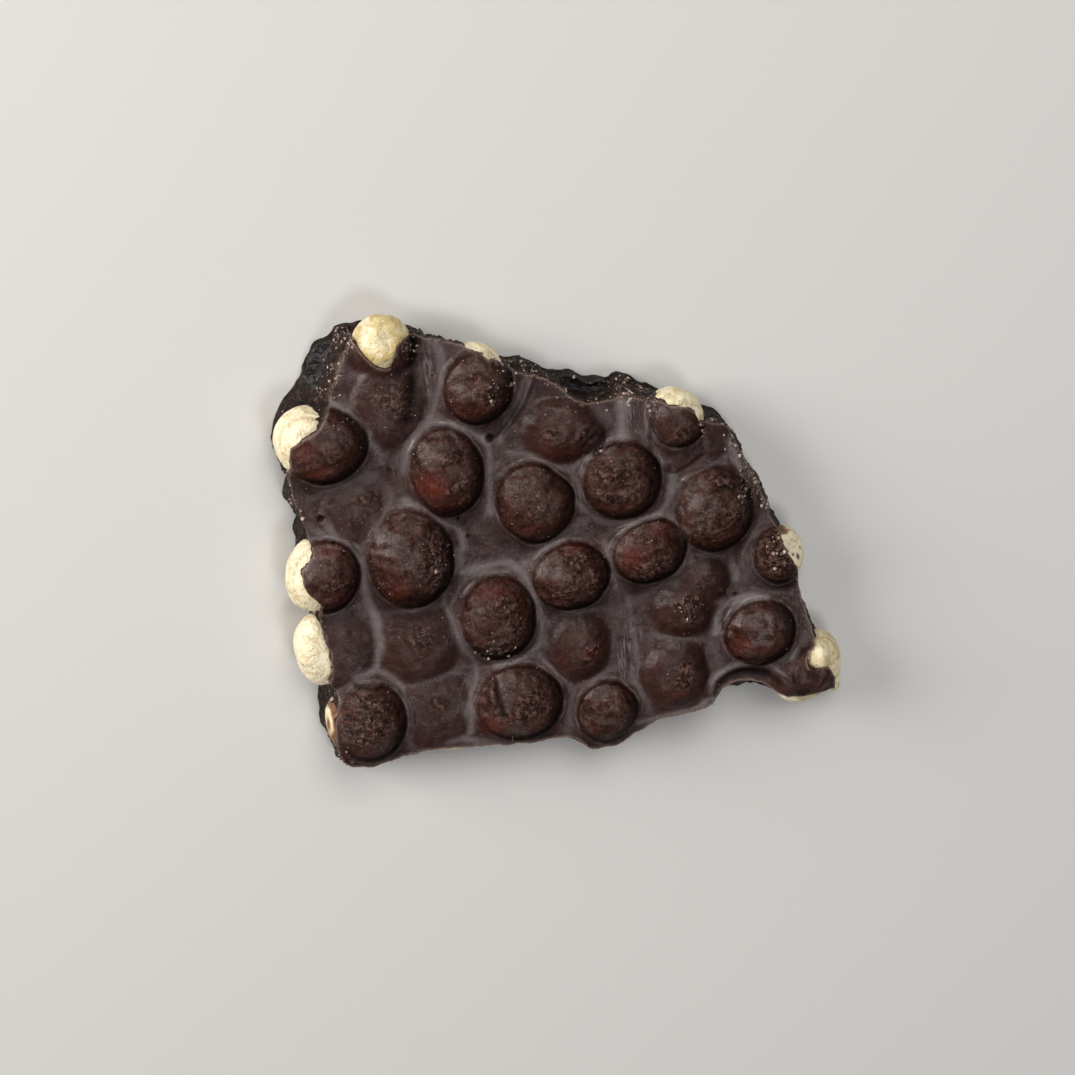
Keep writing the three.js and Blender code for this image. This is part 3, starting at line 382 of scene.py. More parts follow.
# Where crumbs cling: x, y, radius, how many.
CRUMB_SPOTS = (
    (-25.0, 42.6, 3.0, 26), (-20.0, 41.2, 3.0, 30), (-9.5, 36.0, 3.0, 60), (-5.5, 33.8, 3.0, 70),
    (-1.0, 32.0, 2.4, 40), (2.5, 29.0, 2.4, 24), (8.0, 27.0, 4.0, 36), (14.5, 27.0, 2.2, 120),
    (19.0, 25.6, 2.4, 80), (31.0, 19.0, 2.4, 70), (35.4, 15.0, 2.4, 90), (37.6, 9.5, 2.2, 90),
    (39.4, 5.2, 2.0, 90), (41.4, 0.8, 1.8, 50), (43.0, -8.8, 2.6, 60), (36.6, 4.4, 1.8, 30),
    (-39.5, 42.4, 2.4, 60), (-41.8, 38.0, 2.4, 60), (-43.4, 33.6, 2.2, 40), (-38.4, 44.6, 1.8, 40),
    (-27.4, 41.4, 2.0, 40), (-52.4, 17.0, 2.4, 34), (-51.2, 12.6, 2.0, 24), (-50.6, 8.6, 1.6, 14),
    (-49.8, -10.2, 1.8, 24), (-48.6, -28.0, 2.4, 24), (-48.6, -38.0, 3.0, 24), (-45.8, -43.0, 2.0, 20),
    (-14.6, -22.0, 4.0, 22), (-26.4, -1.4, 3.4, 26), (-12.9, 30.9, 2.2, 16), (29.6, -38.6, 2.0, 16),
    (48.4, -17.0, 4.0, 14), (-50.6, 27.6, 3.0, 20), (23.6, -18.2, 2.6, 14), (8.0, 15.8, 1.6, 10),
)


# ---- Noise ----
def lattice(i, j, k, seed):
    """A repeatable value from 0 to 1 for a whole-numbered place: the fraction of a large sine."""
    s = np.sin(i * 127.1 + j * 311.7 + k * 74.7 + seed * 19.19) * 43758.5453
    return s - np.floor(s)


def lumps(x, y, z, size, seed):
    """Smooth noise from -1 to 1: lattice values blended by smoothsteps along the three axes."""
    x, y, z = x / size, y / size, z / size
    i, j, k = np.floor(x), np.floor(y), np.floor(z)
    u, v, w = (f * f * (3 - 2 * f) for f in (x - i, y - j, z - k))
    total = 0.0
    for a, wa in ((0, 1 - u), (1, u)):
        for b, wb in ((0, 1 - v), (1, v)):
            for c, wc in ((0, 1 - w), (1, w)):
                total = total + wa * wb * wc * lattice(i + a, j + b, k + c, seed)
    return 2 * total - 1


def crags(x, y, z, size, seed, octaves=4, fall=0.5):
    """Lumps on lumps: each octave half the size of the last and fall times as high."""
    total = 0.0
    for octave in range(octaves):
        total = total + fall ** octave * lumps(x, y, z, size / 2 ** octave, seed + octave)
    return total


def smoothstep(low, high, value):
    """0 at low and 1 at high, with a smooth way between. low may be the larger."""
    t = np.clip((value - low) / (high - low), 0, 1)
    return t * t * (3 - 2 * t)


# ---- The poured face ----
def smooth_max(a, b, radius):
    """The larger of two heights, with a fillet where they are closer than radius."""
    near = np.clip(radius - np.abs(a - b), 0, None) / radius
    return np.maximum(a, b) + near * near * radius / 4


def nut_reach(nut, x, y):
    """Distance from a nut's middle as a share of its foot, and that distance outside the foot in mm.

    The foot is an ellipse whose reach is scaled smoothly between the eight ways of the table."""
    share = patch_share(x, y, nut.x, nut.y, nut.breadth / 2, nut.length / 2, nut.turn)
    way = np.mod(np.arctan2(y - nut.y, x - nut.x) / (math.pi / 4), 8)
    first = np.floor(way).astype(int) % 8
    ease = way - np.floor(way)
    ease = ease * ease * (3 - 2 * ease)
    reach = np.array(nut.reach) / 100
    share = share / (reach[first] * (1 - ease) + reach[(first + 1) % 8] * ease)
    return share, (share - 1) * (nut.breadth + nut.length) / 4


def patch_share(x, y, px, py, rx, ry, turn):
    """Distance from the middle of a turned ellipse, as a share of its half sizes."""
    turn = math.radians(turn)
    dx, dy = x - px, y - py
    across = (dx * math.cos(turn) + dy * math.sin(turn)) / rx
    return np.hypot(across, (dy * math.cos(turn) - dx * math.sin(turn)) / ry)


def kernel_tops(x, y):
    """For each lobe of each bare nut, the height of its plain ellipsoid over a point, or 0 outside it."""
    lobes = [row[1:4] for row in KERNELS] + [lobe for group in LOBES.values() for lobe in group]
    for middle, half, turn in lobes:
        share = patch_share(x, y, middle[0], middle[1], half[0] + COVER, half[1] + COVER, turn)
        yield np.where(share < 1, middle[2] + half[2] * np.sqrt(np.clip(1 - share ** 2, 0, 1)), 0.0)


def path_distance(x, y, points):
    """Distance in the plane from a broken line: the least of the distances from its straight stretches."""
    best = np.full(np.shape(x), 1e9)
    for (ax, ay), (bx, by) in zip(points, points[1:]):
        run = (bx - ax) ** 2 + (by - ay) ** 2
        along = np.clip(((x - ax) * (bx - ax) + (y - ay) * (by - ay)) / run, 0, 1)
        best = np.minimum(best, np.hypot(x - ax - along * (bx - ax), y - ay - along * (by - ay)))
    return best


def bells(x, y, rows):
    """For each row, a bell curve of its strength round its place: x, y, half sizes, strength."""
    for px, py, rx, ry, strength in rows:
        yield strength * np.exp(-((x - px) / rx) ** 2 - ((y - py) / ry) ** 2)


def valley_lines(reaches):
    """1 midway between neighbouring nuts, fading within a millimetre of there and far from nuts."""
    away = np.sort(np.stack([outside for share, outside in reaches]), axis=0)[:2]
    near = smoothstep(4.5, 1.5, away[0]) * smoothstep(-1.0, 0.2, away[0])
    return near * np.exp(-((away[1] - away[0]) / 1.0) ** 2)


def web_height(x, y, reaches, sizes):
    """Height of the chocolate between the nuts.

    It swells gently, carries smaller lumps, rises to each nut like a meniscus, and dips into a narrow moat
    at the foot of each nut that stands out of it."""
    flat = np.zeros_like(x)
    web = sizes.web + sizes.swell * lumps(x, y, flat, SWELL_LENGTH, 1)
    for size, height, seed in WEB_LUMPS:
        web += height * lumps(x, y, flat, size, seed)
    web += 0.05 * lumps(x, y * 0.4, flat, 2.2, 3)
    for nut, (share, outside) in zip(NUTS, reaches):
        beyond = np.clip(outside, 0, None)
        rise = sum(part * np.exp(-beyond / reach) for reach, part in MENISCUS)
        web += (nut.crest - sizes.web) * rise * (share < MENISCUS_END)
        dip = np.exp(-((outside - MOAT_PLACE) / MOAT_WIDTH) ** 2)
        web -= sizes.moat * smoothstep(*STANDING, nut.crest) * dip
    return web


def foot_marks(x, y, reaches):
    """Distance from the foot of the nearest nut that stands out, and the unit way from its middle."""
    foot, flow = np.full(np.shape(x), FOOT_REACH), np.zeros((len(x), 3))
    for nut, (share, outside) in zip(NUTS, reaches):
        near = (np.abs(outside) < foot) & (smoothstep(*STANDING, nut.crest) > 0.6)
        foot = np.where(near, np.abs(outside), foot)
        middle = np.stack([x - nut.x, y - nut.y, 0 * x], axis=1)
        middle /= np.linalg.norm(middle, axis=1)[:, None] + 1e-6
        flow[near] = middle[near]
    return foot, flow


def raise_domes(height, x, y, reaches, sizes):
    """The face with every nut's dome run into the web, and the marks of the coat over the nuts.

    A dome is an ellipsoid, wrinkled a little, with its middle at the same height for every nut. shade is
    painted shade on the flank near the foot, strongest at the lower right, and low is the flank at the
    bottom, which carries a painted warm reflection."""
    flat = np.zeros_like(x)
    marks = {name: flat.copy() for name in ("dome", "dust", "red", "shade", "low")}
    wrinkles = 0.2 * lumps(x, y, flat, 3.3, 11) + 0.08 * crags(x, y, flat, 1.4, 12, 2)
    for nut, (share, outside) in zip(NUTS, reaches):
        rise = nut.crest - sizes.nut_middle
        held = math.sqrt(1 - ((sizes.web - sizes.nut_middle) / rise) ** 2)
        out = (share * held) ** 2
        dome = sizes.nut_middle + rise * np.where(out < 1, np.sqrt(np.clip(1 - out, 0, 1)), 1 - out)
        proud = float(smoothstep(*PROUD, nut.crest))
        inside = smoothstep(1.2 - 0.16 * proud, 0.4 + 0.5 * proud, share)
        dome += inside * nut.wrinkle * wrinkles
        height = smooth_max(height, dome, nut.fillet)
        way = np.arctan2(y - nut.y, x - nut.x)
        turned = smoothstep(-0.6, 0.9, np.cos(way + 0.6))
        edge = smoothstep(-3.8, -0.7, outside) * smoothstep(0.5, -0.05, outside)
        low_side = smoothstep(0.1, 0.9, -np.sin(way - 0.5)) * smoothstep(-3.4, -1.4, outside)
        here = {"dome": inside * (0.05 + 0.95 * proud ** 2.2), "dust": inside * nut.dust,
                "red": inside * nut.red, "shade": edge * proud * (0.1 + 0.9 * turned),
                "low": low_side * inside * proud}
        marks = {name: np.maximum(marks[name], here[name]) for name in marks}
    return height, marks


def chips(x, y):
    """How deep the coat has chipped away, ragged inside and at the edge, and where."""
    flat = np.zeros_like(x)
    depth, chip = flat.copy(), flat.copy()
    ragged, rough = crags(x, y, flat, 1.3, 33, 3), crags(x, y, flat, 1.2, 34, 3)
    for px, py, rx, ry, turn, deep in CHIPS:
        near = smoothstep(1.25, 0.75, patch_share(x, y, px, py, rx, ry, turn) + 0.3 * ragged)
        depth += near * deep * (1 + 0.8 * rough)
        chip = np.maximum(chip, near)
    return depth, chip


def bulges(x, y):
    """Heights of the bulges and dips of single nuts: bell curves over slightly wavy, turned ellipses."""
    wave = 0.12 * lumps(x, y, np.zeros_like(x), 1.6, 37)
    total = 0.0
    for px, py, rx, ry, turn, rise in RELIEF:
        near = patch_share(x, y, px, py, rx, ry, turn) + wave
        total = total + rise * np.exp(-near ** 2 * np.sign(near))
    return total


def pits_and_grooves(x, y):
    """Heights of the pits, each with a raised lip, and of the grooves, and the painted shade inside them."""
    flat = np.zeros_like(x)
    height, crack = flat.copy(), flat.copy()
    for px, py, radius, depth in PITS:
        away = np.hypot(x - px, y - py) / radius
        crack = np.maximum(crack, smoothstep(1.1, 0.7, away))
        height += depth * (0.35 * np.exp(-((away - 1.35) / 0.4) ** 2) - np.exp(-away ** 4))
    wave = 0.12 * lumps(x, y, flat, 1.1, 31)
    for points, width, depth in GROOVES:
        away = path_distance(x, y, spline(points, SPLINE_STEPS)) + wave
        height -= depth * np.exp(-(away / width) ** 2)
        dark = np.clip(2 * depth, 0, 0.9)
        crack = np.maximum(crack, dark * np.exp(-(away / (0.8 * width)) ** 2))
    return height, crack


def scuff_marks(x, y):
    """Where the coat is scuffed: ellipses with crooked edges, each of its own strength."""
    ragged = 0.25 * crags(x, y, np.zeros_like(x), 2.0, 35, 3)
    scuff = np.zeros_like(x)
    for px, py, rx, ry, turn, strength in SCUFFS:
        near = patch_share(x, y, px, py, rx, ry, turn) + ragged
        scuff = np.maximum(scuff, strength * smoothstep(1.5, 0.5, near))
    return scuff


def painted_sheen_marks(x, y, reaches):
    """Bands of painted satin sheen: faint ones midway between neighbouring nuts, and those of the table, a
    little wavy.
    """
    wave = 0.4 * lumps(x, y, np.zeros_like(x), 3.1, 38)
    shine = 0.3 * valley_lines(reaches)
    for points, width, strength in PAINTED_SHEEN_BANDS:
        away = path_distance(x, y, spline(points, SPLINE_STEPS)) + wave
        shine = np.maximum(shine, strength * np.exp(-(away / (0.8 * width)) ** 2))
    return shine


def poured_face(x, y, sizes):
    """Heights of the poured face, and the marks that its material reads.

    The web with its domes comes first, then the chips, the coat over the bare nuts, bulges and dips, pits
    and grooves, and last the grain of the scuffed patches."""
    flat = np.zeros_like(x)
    reaches = [nut_reach(nut, x, y) for nut in NUTS]
    height, marks = raise_domes(web_height(x, y, reaches, sizes), x, y, reaches, sizes)
    depth, chip = chips(x, y)
    height -= depth
    for top in kernel_tops(x, y):
        height = smooth_max(height, top + COVER * (1 - 0.4 * chip), 0.5)
    lift, crack = pits_and_grooves(x, y)
    scuff = scuff_marks(x, y)
    height = height + bulges(x, y) + lift + 0.1 * scuff * crags(x, y, flat, 1.5, 36, 2)
    foot, flow = foot_marks(x, y, reaches)
    marks.update(foot=foot, flow=flow, chip=chip, crack=crack, scuff=scuff, shine=painted_sheen_marks(x, y, reaches),
                 glow=np.maximum.reduce(list(bells(x, y, WARM_REFLECTIONS))), polish=sum(bells(x, y, POLISHES)),
                 streak=sum(bells(x, y, STREAKS)))
    return height, marks


def spline(keys, count, power=0.5):
    """Points along a smooth curve through keys (rows), evenly spaced by the length of all columns together.

    A Catmull-Rom curve: each stretch is a cubic whose tangents come from the neighbouring keys."""
    keys = np.asarray(keys, float)
    ends = np.vstack([2 * keys[0] - keys[1], keys, 2 * keys[-1] - keys[-2]])
    steps = np.linalg.norm(np.diff(ends, axis=0), axis=1) ** power
    knots = np.concatenate([[0], np.cumsum(steps)])
    slopes = (ends[2:] - ends[:-2]) / (knots[2:] - knots[:-2])[:, None]
    knots = knots[1:-1]
    fine = np.linspace(knots[0], knots[-1], 24 * count)
    at = np.clip(np.searchsorted(knots, fine, "right") - 1, 0, len(knots) - 2)
    gap = (knots[at + 1] - knots[at])[:, None]
    t = ((fine - knots[at]) / gap[:, 0])[:, None]
    curve = ((2 * t ** 3 - 3 * t ** 2 + 1) * keys[at] + (t ** 3 - 2 * t ** 2 + t) * gap * slopes[at]
             + (3 * t ** 2 - 2 * t ** 3) * keys[at + 1] + (t ** 3 - t ** 2) * gap * slopes[at + 1])
    run = np.concatenate([[0], np.cumsum(np.linalg.norm(np.diff(curve, axis=0), axis=1))])
    even = np.linspace(0, run[-1], count + 1)
    return np.stack([np.interp(even, run, column) for column in curve.T], axis=1)


def jag(edge, seed):
    """Moves the rims of the face and the underside in and out by the jags of a break, but for their ends."""
    way = np.gradient(edge[:, :2], axis=0)
    way /= np.linalg.norm(way, axis=1)[:, None]
    outward = np.stack([way[:, 1], -way[:, 0]], axis=1)
    count = np.arange(len(edge))
    run = count * JAG_STEP
    ends = smoothstep(0, 8, np.minimum(count, count[::-1]))
    push = RIM_JAG * crags(run, run * 0, run * 0, 2.2, seed, 3) * ends
    edge = edge.copy()
    edge[:, :2] += outward * push[:, None]
    edge[:, 2:] += outward * (BASE_JAG * ends * crags(run, run * 0, run * 0 + 9, 3.1, seed, 3))[:, None]
    return edge


def slab_edges():
    """The four edges as rows of rim x, rim y, base x, base y. Left and right run up, top and bottom right."""
    top = jag(spline(TOP_RUNGS, FACE_COLUMNS), 41)
    right = jag(spline(RIGHT_RUNGS, FACE_ROWS), 42)[::-1]
    bottom = jag(spline(BOTTOM_RUNGS, FACE_COLUMNS), 43)
    left = jag(spline(LEFT_RUNGS, FACE_ROWS), 44)
    return top, right, bottom, left


def patch(top, right, bottom, left):
    """The x and y of a grid between four edges: both pairs blended, less the blend of the corners."""
    u = np.linspace(0, 1, FACE_COLUMNS + 1)[None, :, None]
    v = np.linspace(0, 1, FACE_ROWS + 1)[:, None, None]
    across = (1 - u) * left[:, None, :2] + u * right[:, None, :2]
    along = (1 - v) * bottom[None, :, :2] + v * top[None, :, :2]
    corners = ((1 - u) * (1 - v) * bottom[0, :2] + u * (1 - v) * bottom[-1, :2]
               + (1 - u) * v * top[0, :2] + u * v * top[-1, :2])
    return across + along - corners


def ring_of(top, right, bottom, left):
    """One loop from four edges, anticlockwise from the bottom left corner."""
    return np.concatenate([bottom[:-1], right[:-1], top[:0:-1], left[:0:-1]])


def outward_normals(loop):
    """Unit vectors in the plane, square to a smoothed anticlockwise loop and pointing out of it."""
    way = np.zeros_like(loop)
    for shift in range(1, 13):
        way += np.roll(loop, -shift, axis=0) - np.roll(loop, shift, axis=0)
    way /= np.linalg.norm(way, axis=1)[:, None]
    return np.stack([way[:, 1], -way[:, 0]], axis=1)


def hollow_depth(points, normals, middle, half):
    """How far a point inside an ellipsoid has to go inward, against its normal, to reach the far side."""
    start = (points - middle) / half
    way = np.concatenate([-normals, np.zeros((len(normals), 1))], axis=1) / half
    a, b, c = (way * way).sum(1), (start * way).sum(1), (start * start).sum(1) - 1
    root = np.sqrt(np.clip(b * b - a * c, 0, None))
    return np.where(c < 0, (root - b) / a, 0.0)


def side_path(rim, down):
    """For each rim point, at a share of the way down, how far out and how high the side is, and how hollow.

    A plain break drops evenly and slides outward. Near a ledge the section of its table takes over."""
    way, height = np.full(len(rim), 0.0), np.full(len(rim), 1 - down)
    low, high = smoothstep(*SLIDE, 0.0), smoothstep(*SLIDE, 1.0)
    way += (smoothstep(*SLIDE, down) - low) / (high - low)
    hollow = np.zeros(len(rim))
    for middle, half, across, heights in LEDGES:
        run = np.hypot(rim[:, 0] - middle[0], rim[:, 1] - middle[1])
        share = smoothstep(half, 0.55 * half, run)
        way += share * (np.interp(down, LEDGE_STEPS, across) - way)
        height += share * (np.interp(down, LEDGE_STEPS, heights) - height)
        hollow = np.maximum(hollow, share * smoothstep(0.36, 0.46, down) * smoothstep(0.88, 0.8, down))
    return way, height, hollow


def broken_sides(rim, base, sizes):
    """Rings of points from the face's rim down to the underside, and how hollow each point is.

    A point goes from its rim point to its base point along side_path, is pushed in and out by crags that
    fade at both ends, and inside a hollow goes to the far side of it, where the nut has left its ribs."""
    normals = outward_normals(rim[:, :2])
    rings, hollows = [], []
    for level in range(1, BREAK_LEVELS + 1):
        down = level / BREAK_LEVELS
        way, height, ledge = side_path(rim, down)
        ring = np.empty((len(rim), 3))
        ring[:, :2] = rim[:, :2] + way[:, None] * (base - rim[:, :2])
        ring[:, 2] = rim[:, 2] * height
        x, y, z = ring.T
        fade = smoothstep(0, 0.1, down) * smoothstep(1.0, 0.93, down)
        push = (SIDE_LUMPS * lumps(x, y, z, 4.2, 51) + SIDE_CRAGS * crags(x, y, z, 1.7, 52, 4, 0.6)
                - SIDE_PITS * smoothstep(0.35, 0.8, lumps(x, y, z, 2.3, 57)))
        deep = np.zeros(len(rim))
        for middle, half in HOLLOWS:
            deep = np.maximum(deep, hollow_depth(ring, normals, np.array(middle), np.array(half)))
        smooth = np.maximum(smoothstep(0.0, 0.6, deep), ledge)
        push = push * fade * sizes.rough * (1 - 0.8 * smooth) - deep * smoothstep(0, 0.06, down)
        ribs = 0.2 * lumps(x * 0.35, y * 1.6, z, 1.6, 58) + 0.12 * lumps(x, y, z, 1.1, 59)
        ring[:, :2] += normals * push[:, None]
        ring[:, 2] += ledge * ribs + (1 - smooth) * fade * 0.35 * sizes.rough * lumps(x, y, z, 1.3, 61)
        if level == BREAK_LEVELS:
            ring[:, 2] = 0.0
        rings.append(ring)
        hollows.append(smooth)
    return rings, hollows


# ---- Meshes ----
def put_mesh(name, points, quads, triangles=(), ngon=(), marks=None, indices=None, smooth=True):
    """A mesh object from points in mm and faces, with an attribute of numbers or vectors for each mark."""
    triangles = np.asarray(triangles, np.int32).reshape(-1, 3)
    parts = [np.asarray(quads, np.int32), triangles, np.asarray(ngon, np.int32)]
    corners = np.concatenate([part.ravel() for part in parts])
    totals = np.concatenate([np.full(len(parts[0]), 4), np.full(len(parts[1]), 3),
                             np.full(1 if len(parts[2]) else 0, len(parts[2]))])
    starts = np.cumsum(totals) - totals
    mesh = bpy.data.meshes.new(name)
    mesh.vertices.add(len(points))
    mesh.vertices.foreach_set("co", (np.asarray(points) * MM).astype(np.float32).ravel())
    mesh.loops.add(len(corners))
    mesh.loops.foreach_set("vertex_index", corners.astype(np.int32))
    mesh.polygons.add(len(starts))
    mesh.polygons.foreach_set("loop_start", starts.astype(np.int32))
    mesh.update(calc_edges=True)
    for mark, values in (marks or {}).items():
        kind, field = ("FLOAT_VECTOR", "vector") if values.ndim == 2 else ("FLOAT", "value")
        mesh.attributes.new(mark, kind, "POINT").data.foreach_set(field, values.astype(np.float32).ravel())
    mesh.polygons.foreach_set("use_smooth", np.full(len(starts), smooth))
    if indices is not None:
        mesh.polygons.foreach_set("material_index", np.asarray(indices, np.int32))
        sharpen_between(mesh, np.asarray(indices))
    mesh.update()
    mesh.validate()
    piece = bpy.data.objects.new(name, mesh)
    bpy.context.scene.collection.objects.link(piece)
    return piece


def sharpen_between(mesh, indices):
    """Marks as sharp each edge between faces of different materials, so that shading breaks there."""
    edges = np.empty(len(mesh.loops), np.int32)
    mesh.loops.foreach_get("edge_index", edges)
    totals = np.empty(len(mesh.polygons), np.int32)
    mesh.polygons.foreach_get("loop_total", totals)
    owner = np.repeat(indices, totals)
    least, most = np.full(len(mesh.edges), 99), np.full(len(mesh.edges), -1)
    np.minimum.at(least, edges, owner)
    np.maximum.at(most, edges, owner)
    mesh.attributes.new("sharp_edge", "BOOLEAN", "EDGE").data.foreach_set("value", least != most)


def grid_faces(rows, columns):
    """Quads of a grid whose points run along its rows, each facing up."""
    at = np.arange(rows * (columns + 1)).reshape(rows, columns + 1)[:, :-1]
    return np.stack([at, at + 1, at + columns + 2, at + columns + 1], axis=-1).reshape(-1, 4)


def grid_rim():
    """Numbers of the face grid's outer points, anticlockwise from the bottom left corner."""
    ids = np.arange((FACE_ROWS + 1) * (FACE_COLUMNS + 1)).reshape(FACE_ROWS + 1, FACE_COLUMNS + 1)
    return np.concatenate([ids[0, :-1], ids[:-1, -1], ids[-1, :0:-1], ids[:0:-1, 0]])


def rim_nearness():
    """How near each point of the face grid is to its rim, in cells, as a grid."""
    i = np.minimum(np.arange(FACE_COLUMNS + 1), np.arange(FACE_COLUMNS + 1)[::-1])
    j = np.minimum(np.arange(FACE_ROWS + 1), np.arange(FACE_ROWS + 1)[::-1])
    return np.minimum(i[None, :], j[:, None])


def make_slab(sizes):
    """One closed mesh: the poured face, the broken sides and the flat underside."""
    top, right, bottom, left = slab_edges()
    plan = patch(top, right, bottom, left)
    x, y = plan[..., 0].ravel(), plan[..., 1].ravel()
    z, marks = poured_face(x, y, sizes)
    face = np.stack([x, y, z], axis=1)
    rim_ids = grid_rim()
    rim = face[rim_ids]
    base = ring_of(top, right, bottom, left)[:, 2:]
    rings, hollows = broken_sides(rim, base, sizes)
    points = np.concatenate([face] + rings)
    count = len(rim)
    quads, above = [grid_faces(FACE_ROWS, FACE_COLUMNS)], rim_ids
    for level in range(BREAK_LEVELS):
        below = len(face) + level * count + np.arange(count)
        quads.append(np.stack([below, np.roll(below, -1), np.roll(above, -1), above], axis=-1))
        above = below
    side = BREAK_LEVELS * count
    indices = np.concatenate([np.zeros(len(quads[0])), np.ones(side), [2]])
    for name, values in marks.items():
        marks[name] = np.concatenate([values, np.zeros((side, *values.shape[1:]))])
    marks["hollow"] = np.concatenate([np.zeros(len(face))] + hollows)
    down = np.repeat(np.arange(1, BREAK_LEVELS + 1), count)
    marks["rim"] = np.concatenate([np.exp(-(rim_nearness().ravel() / 0.9) ** 2),
                                   np.exp(-((down - 0.5) / 1.6) ** 2)])
    return put_mesh("chocolate_slab", points, np.concatenate(quads), ngon=above[::-1], marks=marks,
                    indices=indices)


# ---- Bare nuts ----
def dot(ball, way):
    """How far each point lies along a way: the sum of the products of their coordinates."""
    return sum(part * share for part, share in zip(ball, way))


def unit(way):
    return np.array(way) / np.linalg.norm(way)


def kernel_body(ball, u, seed):
    """How much a plain kernel swells at each point of a ball: five faint ribs, a blunt point, and lumps."""
    px, py, pz = ball
    girth = np.hypot(px, pz)
    swell = 0.012 * girth * np.cos(5 * u + seed) + 0.01 * girth * np.cos(2 * u + 2 * seed) * py - 0.012
    swell = swell + 0.01 * np.clip(py, 0, 1) ** 6 - 0.03 * np.clip(-py, 0, 1) ** 6
    return swell + 0.028 * lumps(*ball, 0.8, 60 + seed) + 0.014 * crags(*ball, 0.3, 70 + seed, 3)


def kernel_folds(ball, name, seed, folded):
    """How much the folds of a kernel push it out at each point, and where they are.

    Fine ones run where a noise passes through nothing. Those of the table are stretches of a crooked ring
    round an axis, each a groove with a raised edge beside it."""
    fold = lumps(*ball, 0.9, 75 + seed) + 0.25 * lumps(*ball, 0.35, 77 + seed)
    fold = np.exp(-(fold / 0.05) ** 2) * smoothstep(-0.1, 0.4, lumps(*ball, 0.6, 78 + seed))
    push = -FOLD_DEPTH * folded * fold
    for axis, level, width, depth, side in FOLDS.get(name, ()):
        away = dot(ball, axis) / np.linalg.norm(axis) - level + 0.07 * lumps(*ball, 0.4, 83 + seed)
        edge = np.exp(-(away / width) ** 2) * smoothstep(0.1, 0.5, dot(ball, side))
        lip = np.exp(-((away + 1.6 * width) / width) ** 2) * (edge > 0)
        push = push - depth * edge + 0.4 * depth * lip
        fold = np.maximum(fold, edge)
    return push, fold


def kernel_seam(ball, seed):
    """A bell curve across a slightly crooked ring that runs over both ends of a kernel."""
    axis = (math.sin(seed * 1.7), 0.0, math.cos(seed * 1.7))
    plane = dot(ball, axis) + 0.06 * lumps(*ball, 0.5, 80 + seed)
    return np.exp(-(plane / SEAM_WIDTH) ** 2)


def kernel_dents(ball, name):
    """How much the bulges and dents of the table push out each point, falling off away from their ways."""
    return sum(rise * np.exp(-(1 - dot(ball, unit(way))) / spread)
               for way, rise, spread in DENTS.get(name, ()))


def kernel_pocks(ball, name, seed):
    """Where the pocks of the table are: crooked discs round their ways."""
    pocks = 0.0 * ball[0]
    for way, width in POCKS.get(name, ()):
        away = np.sqrt(np.clip(2 - 2 * dot(ball, unit(way)), 0, None))
        away = away * (1 + 0.45 * lumps(*ball, 0.12, 90 + seed))
        pocks = np.maximum(pocks, smoothstep(width * 1.25, width * 0.6, away))
    return pocks


def kernel_skin(ball, name, seed):
    """Where brown skin is left: a ragged cap round the way of the table.

    A skin that covers the whole kernel leaves a narrow strip near its left side bare."""
    if name not in SKINS:
        return 0.0 * ball[0]
    way, reach = SKINS[name]
    cover = dot(ball, unit(way)) + 0.12 * crags(*ball, 0.4, 95 + seed, 3)
    if reach > 0:
        return smoothstep(reach - 0.03, reach + 0.05, cover)
    strip = smoothstep(0.05, 0.02, np.abs(ball[0] + 0.93 + 0.1 * lumps(*ball, 0.5, 97)))
    return smoothstep(reach - 0.03, reach + 0.05, cover + 0.3) * (1 - strip * smoothstep(-0.5, 0.1, ball[1]))


def kernel_surface(half, name, seed, folded, seam):
    """Points of a hazelnut kernel about its own middle, and marks for its material.

    A ball of radius 1, swollen at each point by its ribs and lumps, folds, seam, dents and pocks, and then
    drawn out to the half sizes."""
    v = np.linspace(0, math.pi, KERNEL_RINGS + 1)[:, None]
    u = np.linspace(0, 2 * math.pi, KERNEL_SIDES, endpoint=False)[None, :]
    ball = (np.sin(v) * np.cos(u), np.cos(v) + 0 * u, np.sin(v) * np.sin(u))
    push, fold = kernel_folds(ball, name, seed, folded)
    groove = seam * kernel_seam(ball, seed)
    pocks = kernel_pocks(ball, name, seed)
    swell = kernel_body(ball, u, seed) + push + kernel_dents(ball, name)
    swell = swell - SEAM_DEPTH * groove - POCK_DEPTH * pocks
    points = np.stack(ball, axis=-1) * (1 + swell)[..., None] * np.array(half)
    return points, {"groove": np.maximum(groove, 0.6 * folded * fold), "pock": pocks,
                    "skin": kernel_skin(ball, name, seed)}


def turned_points(points, turn, middle):
    """A grid of points turned about Z by so many degrees and moved to its middle, poles first, then rings."""
    turn = math.radians(turn)
    spin = np.array([[math.cos(turn), -math.sin(turn), 0], [math.sin(turn), math.cos(turn), 0], [0, 0, 1]])
    flat = np.concatenate([points[[0, -1], 0], points[1:-1].reshape(-1, 3)])
    return flat @ spin.T + np.array(middle)


def kernel_faces(first):
    """Faces of one kernel whose points start at a number: quads between rings and triangles at the poles."""
    ids = np.arange((KERNEL_RINGS - 1) * KERNEL_SIDES).reshape(KERNEL_RINGS - 1, KERNEL_SIDES) + 2 + first
    right = np.roll(ids, -1, axis=1)
    quads = np.stack([right[:-1], right[1:], ids[1:], ids[:-1]], axis=-1).reshape(-1, 4)
    north = np.stack([np.full(KERNEL_SIDES, first), right[0], ids[0]], axis=-1)
    south = np.stack([np.full(KERNEL_SIDES, first + 1), ids[-1], right[-1]], axis=-1)
    return quads, np.concatenate([north, south])


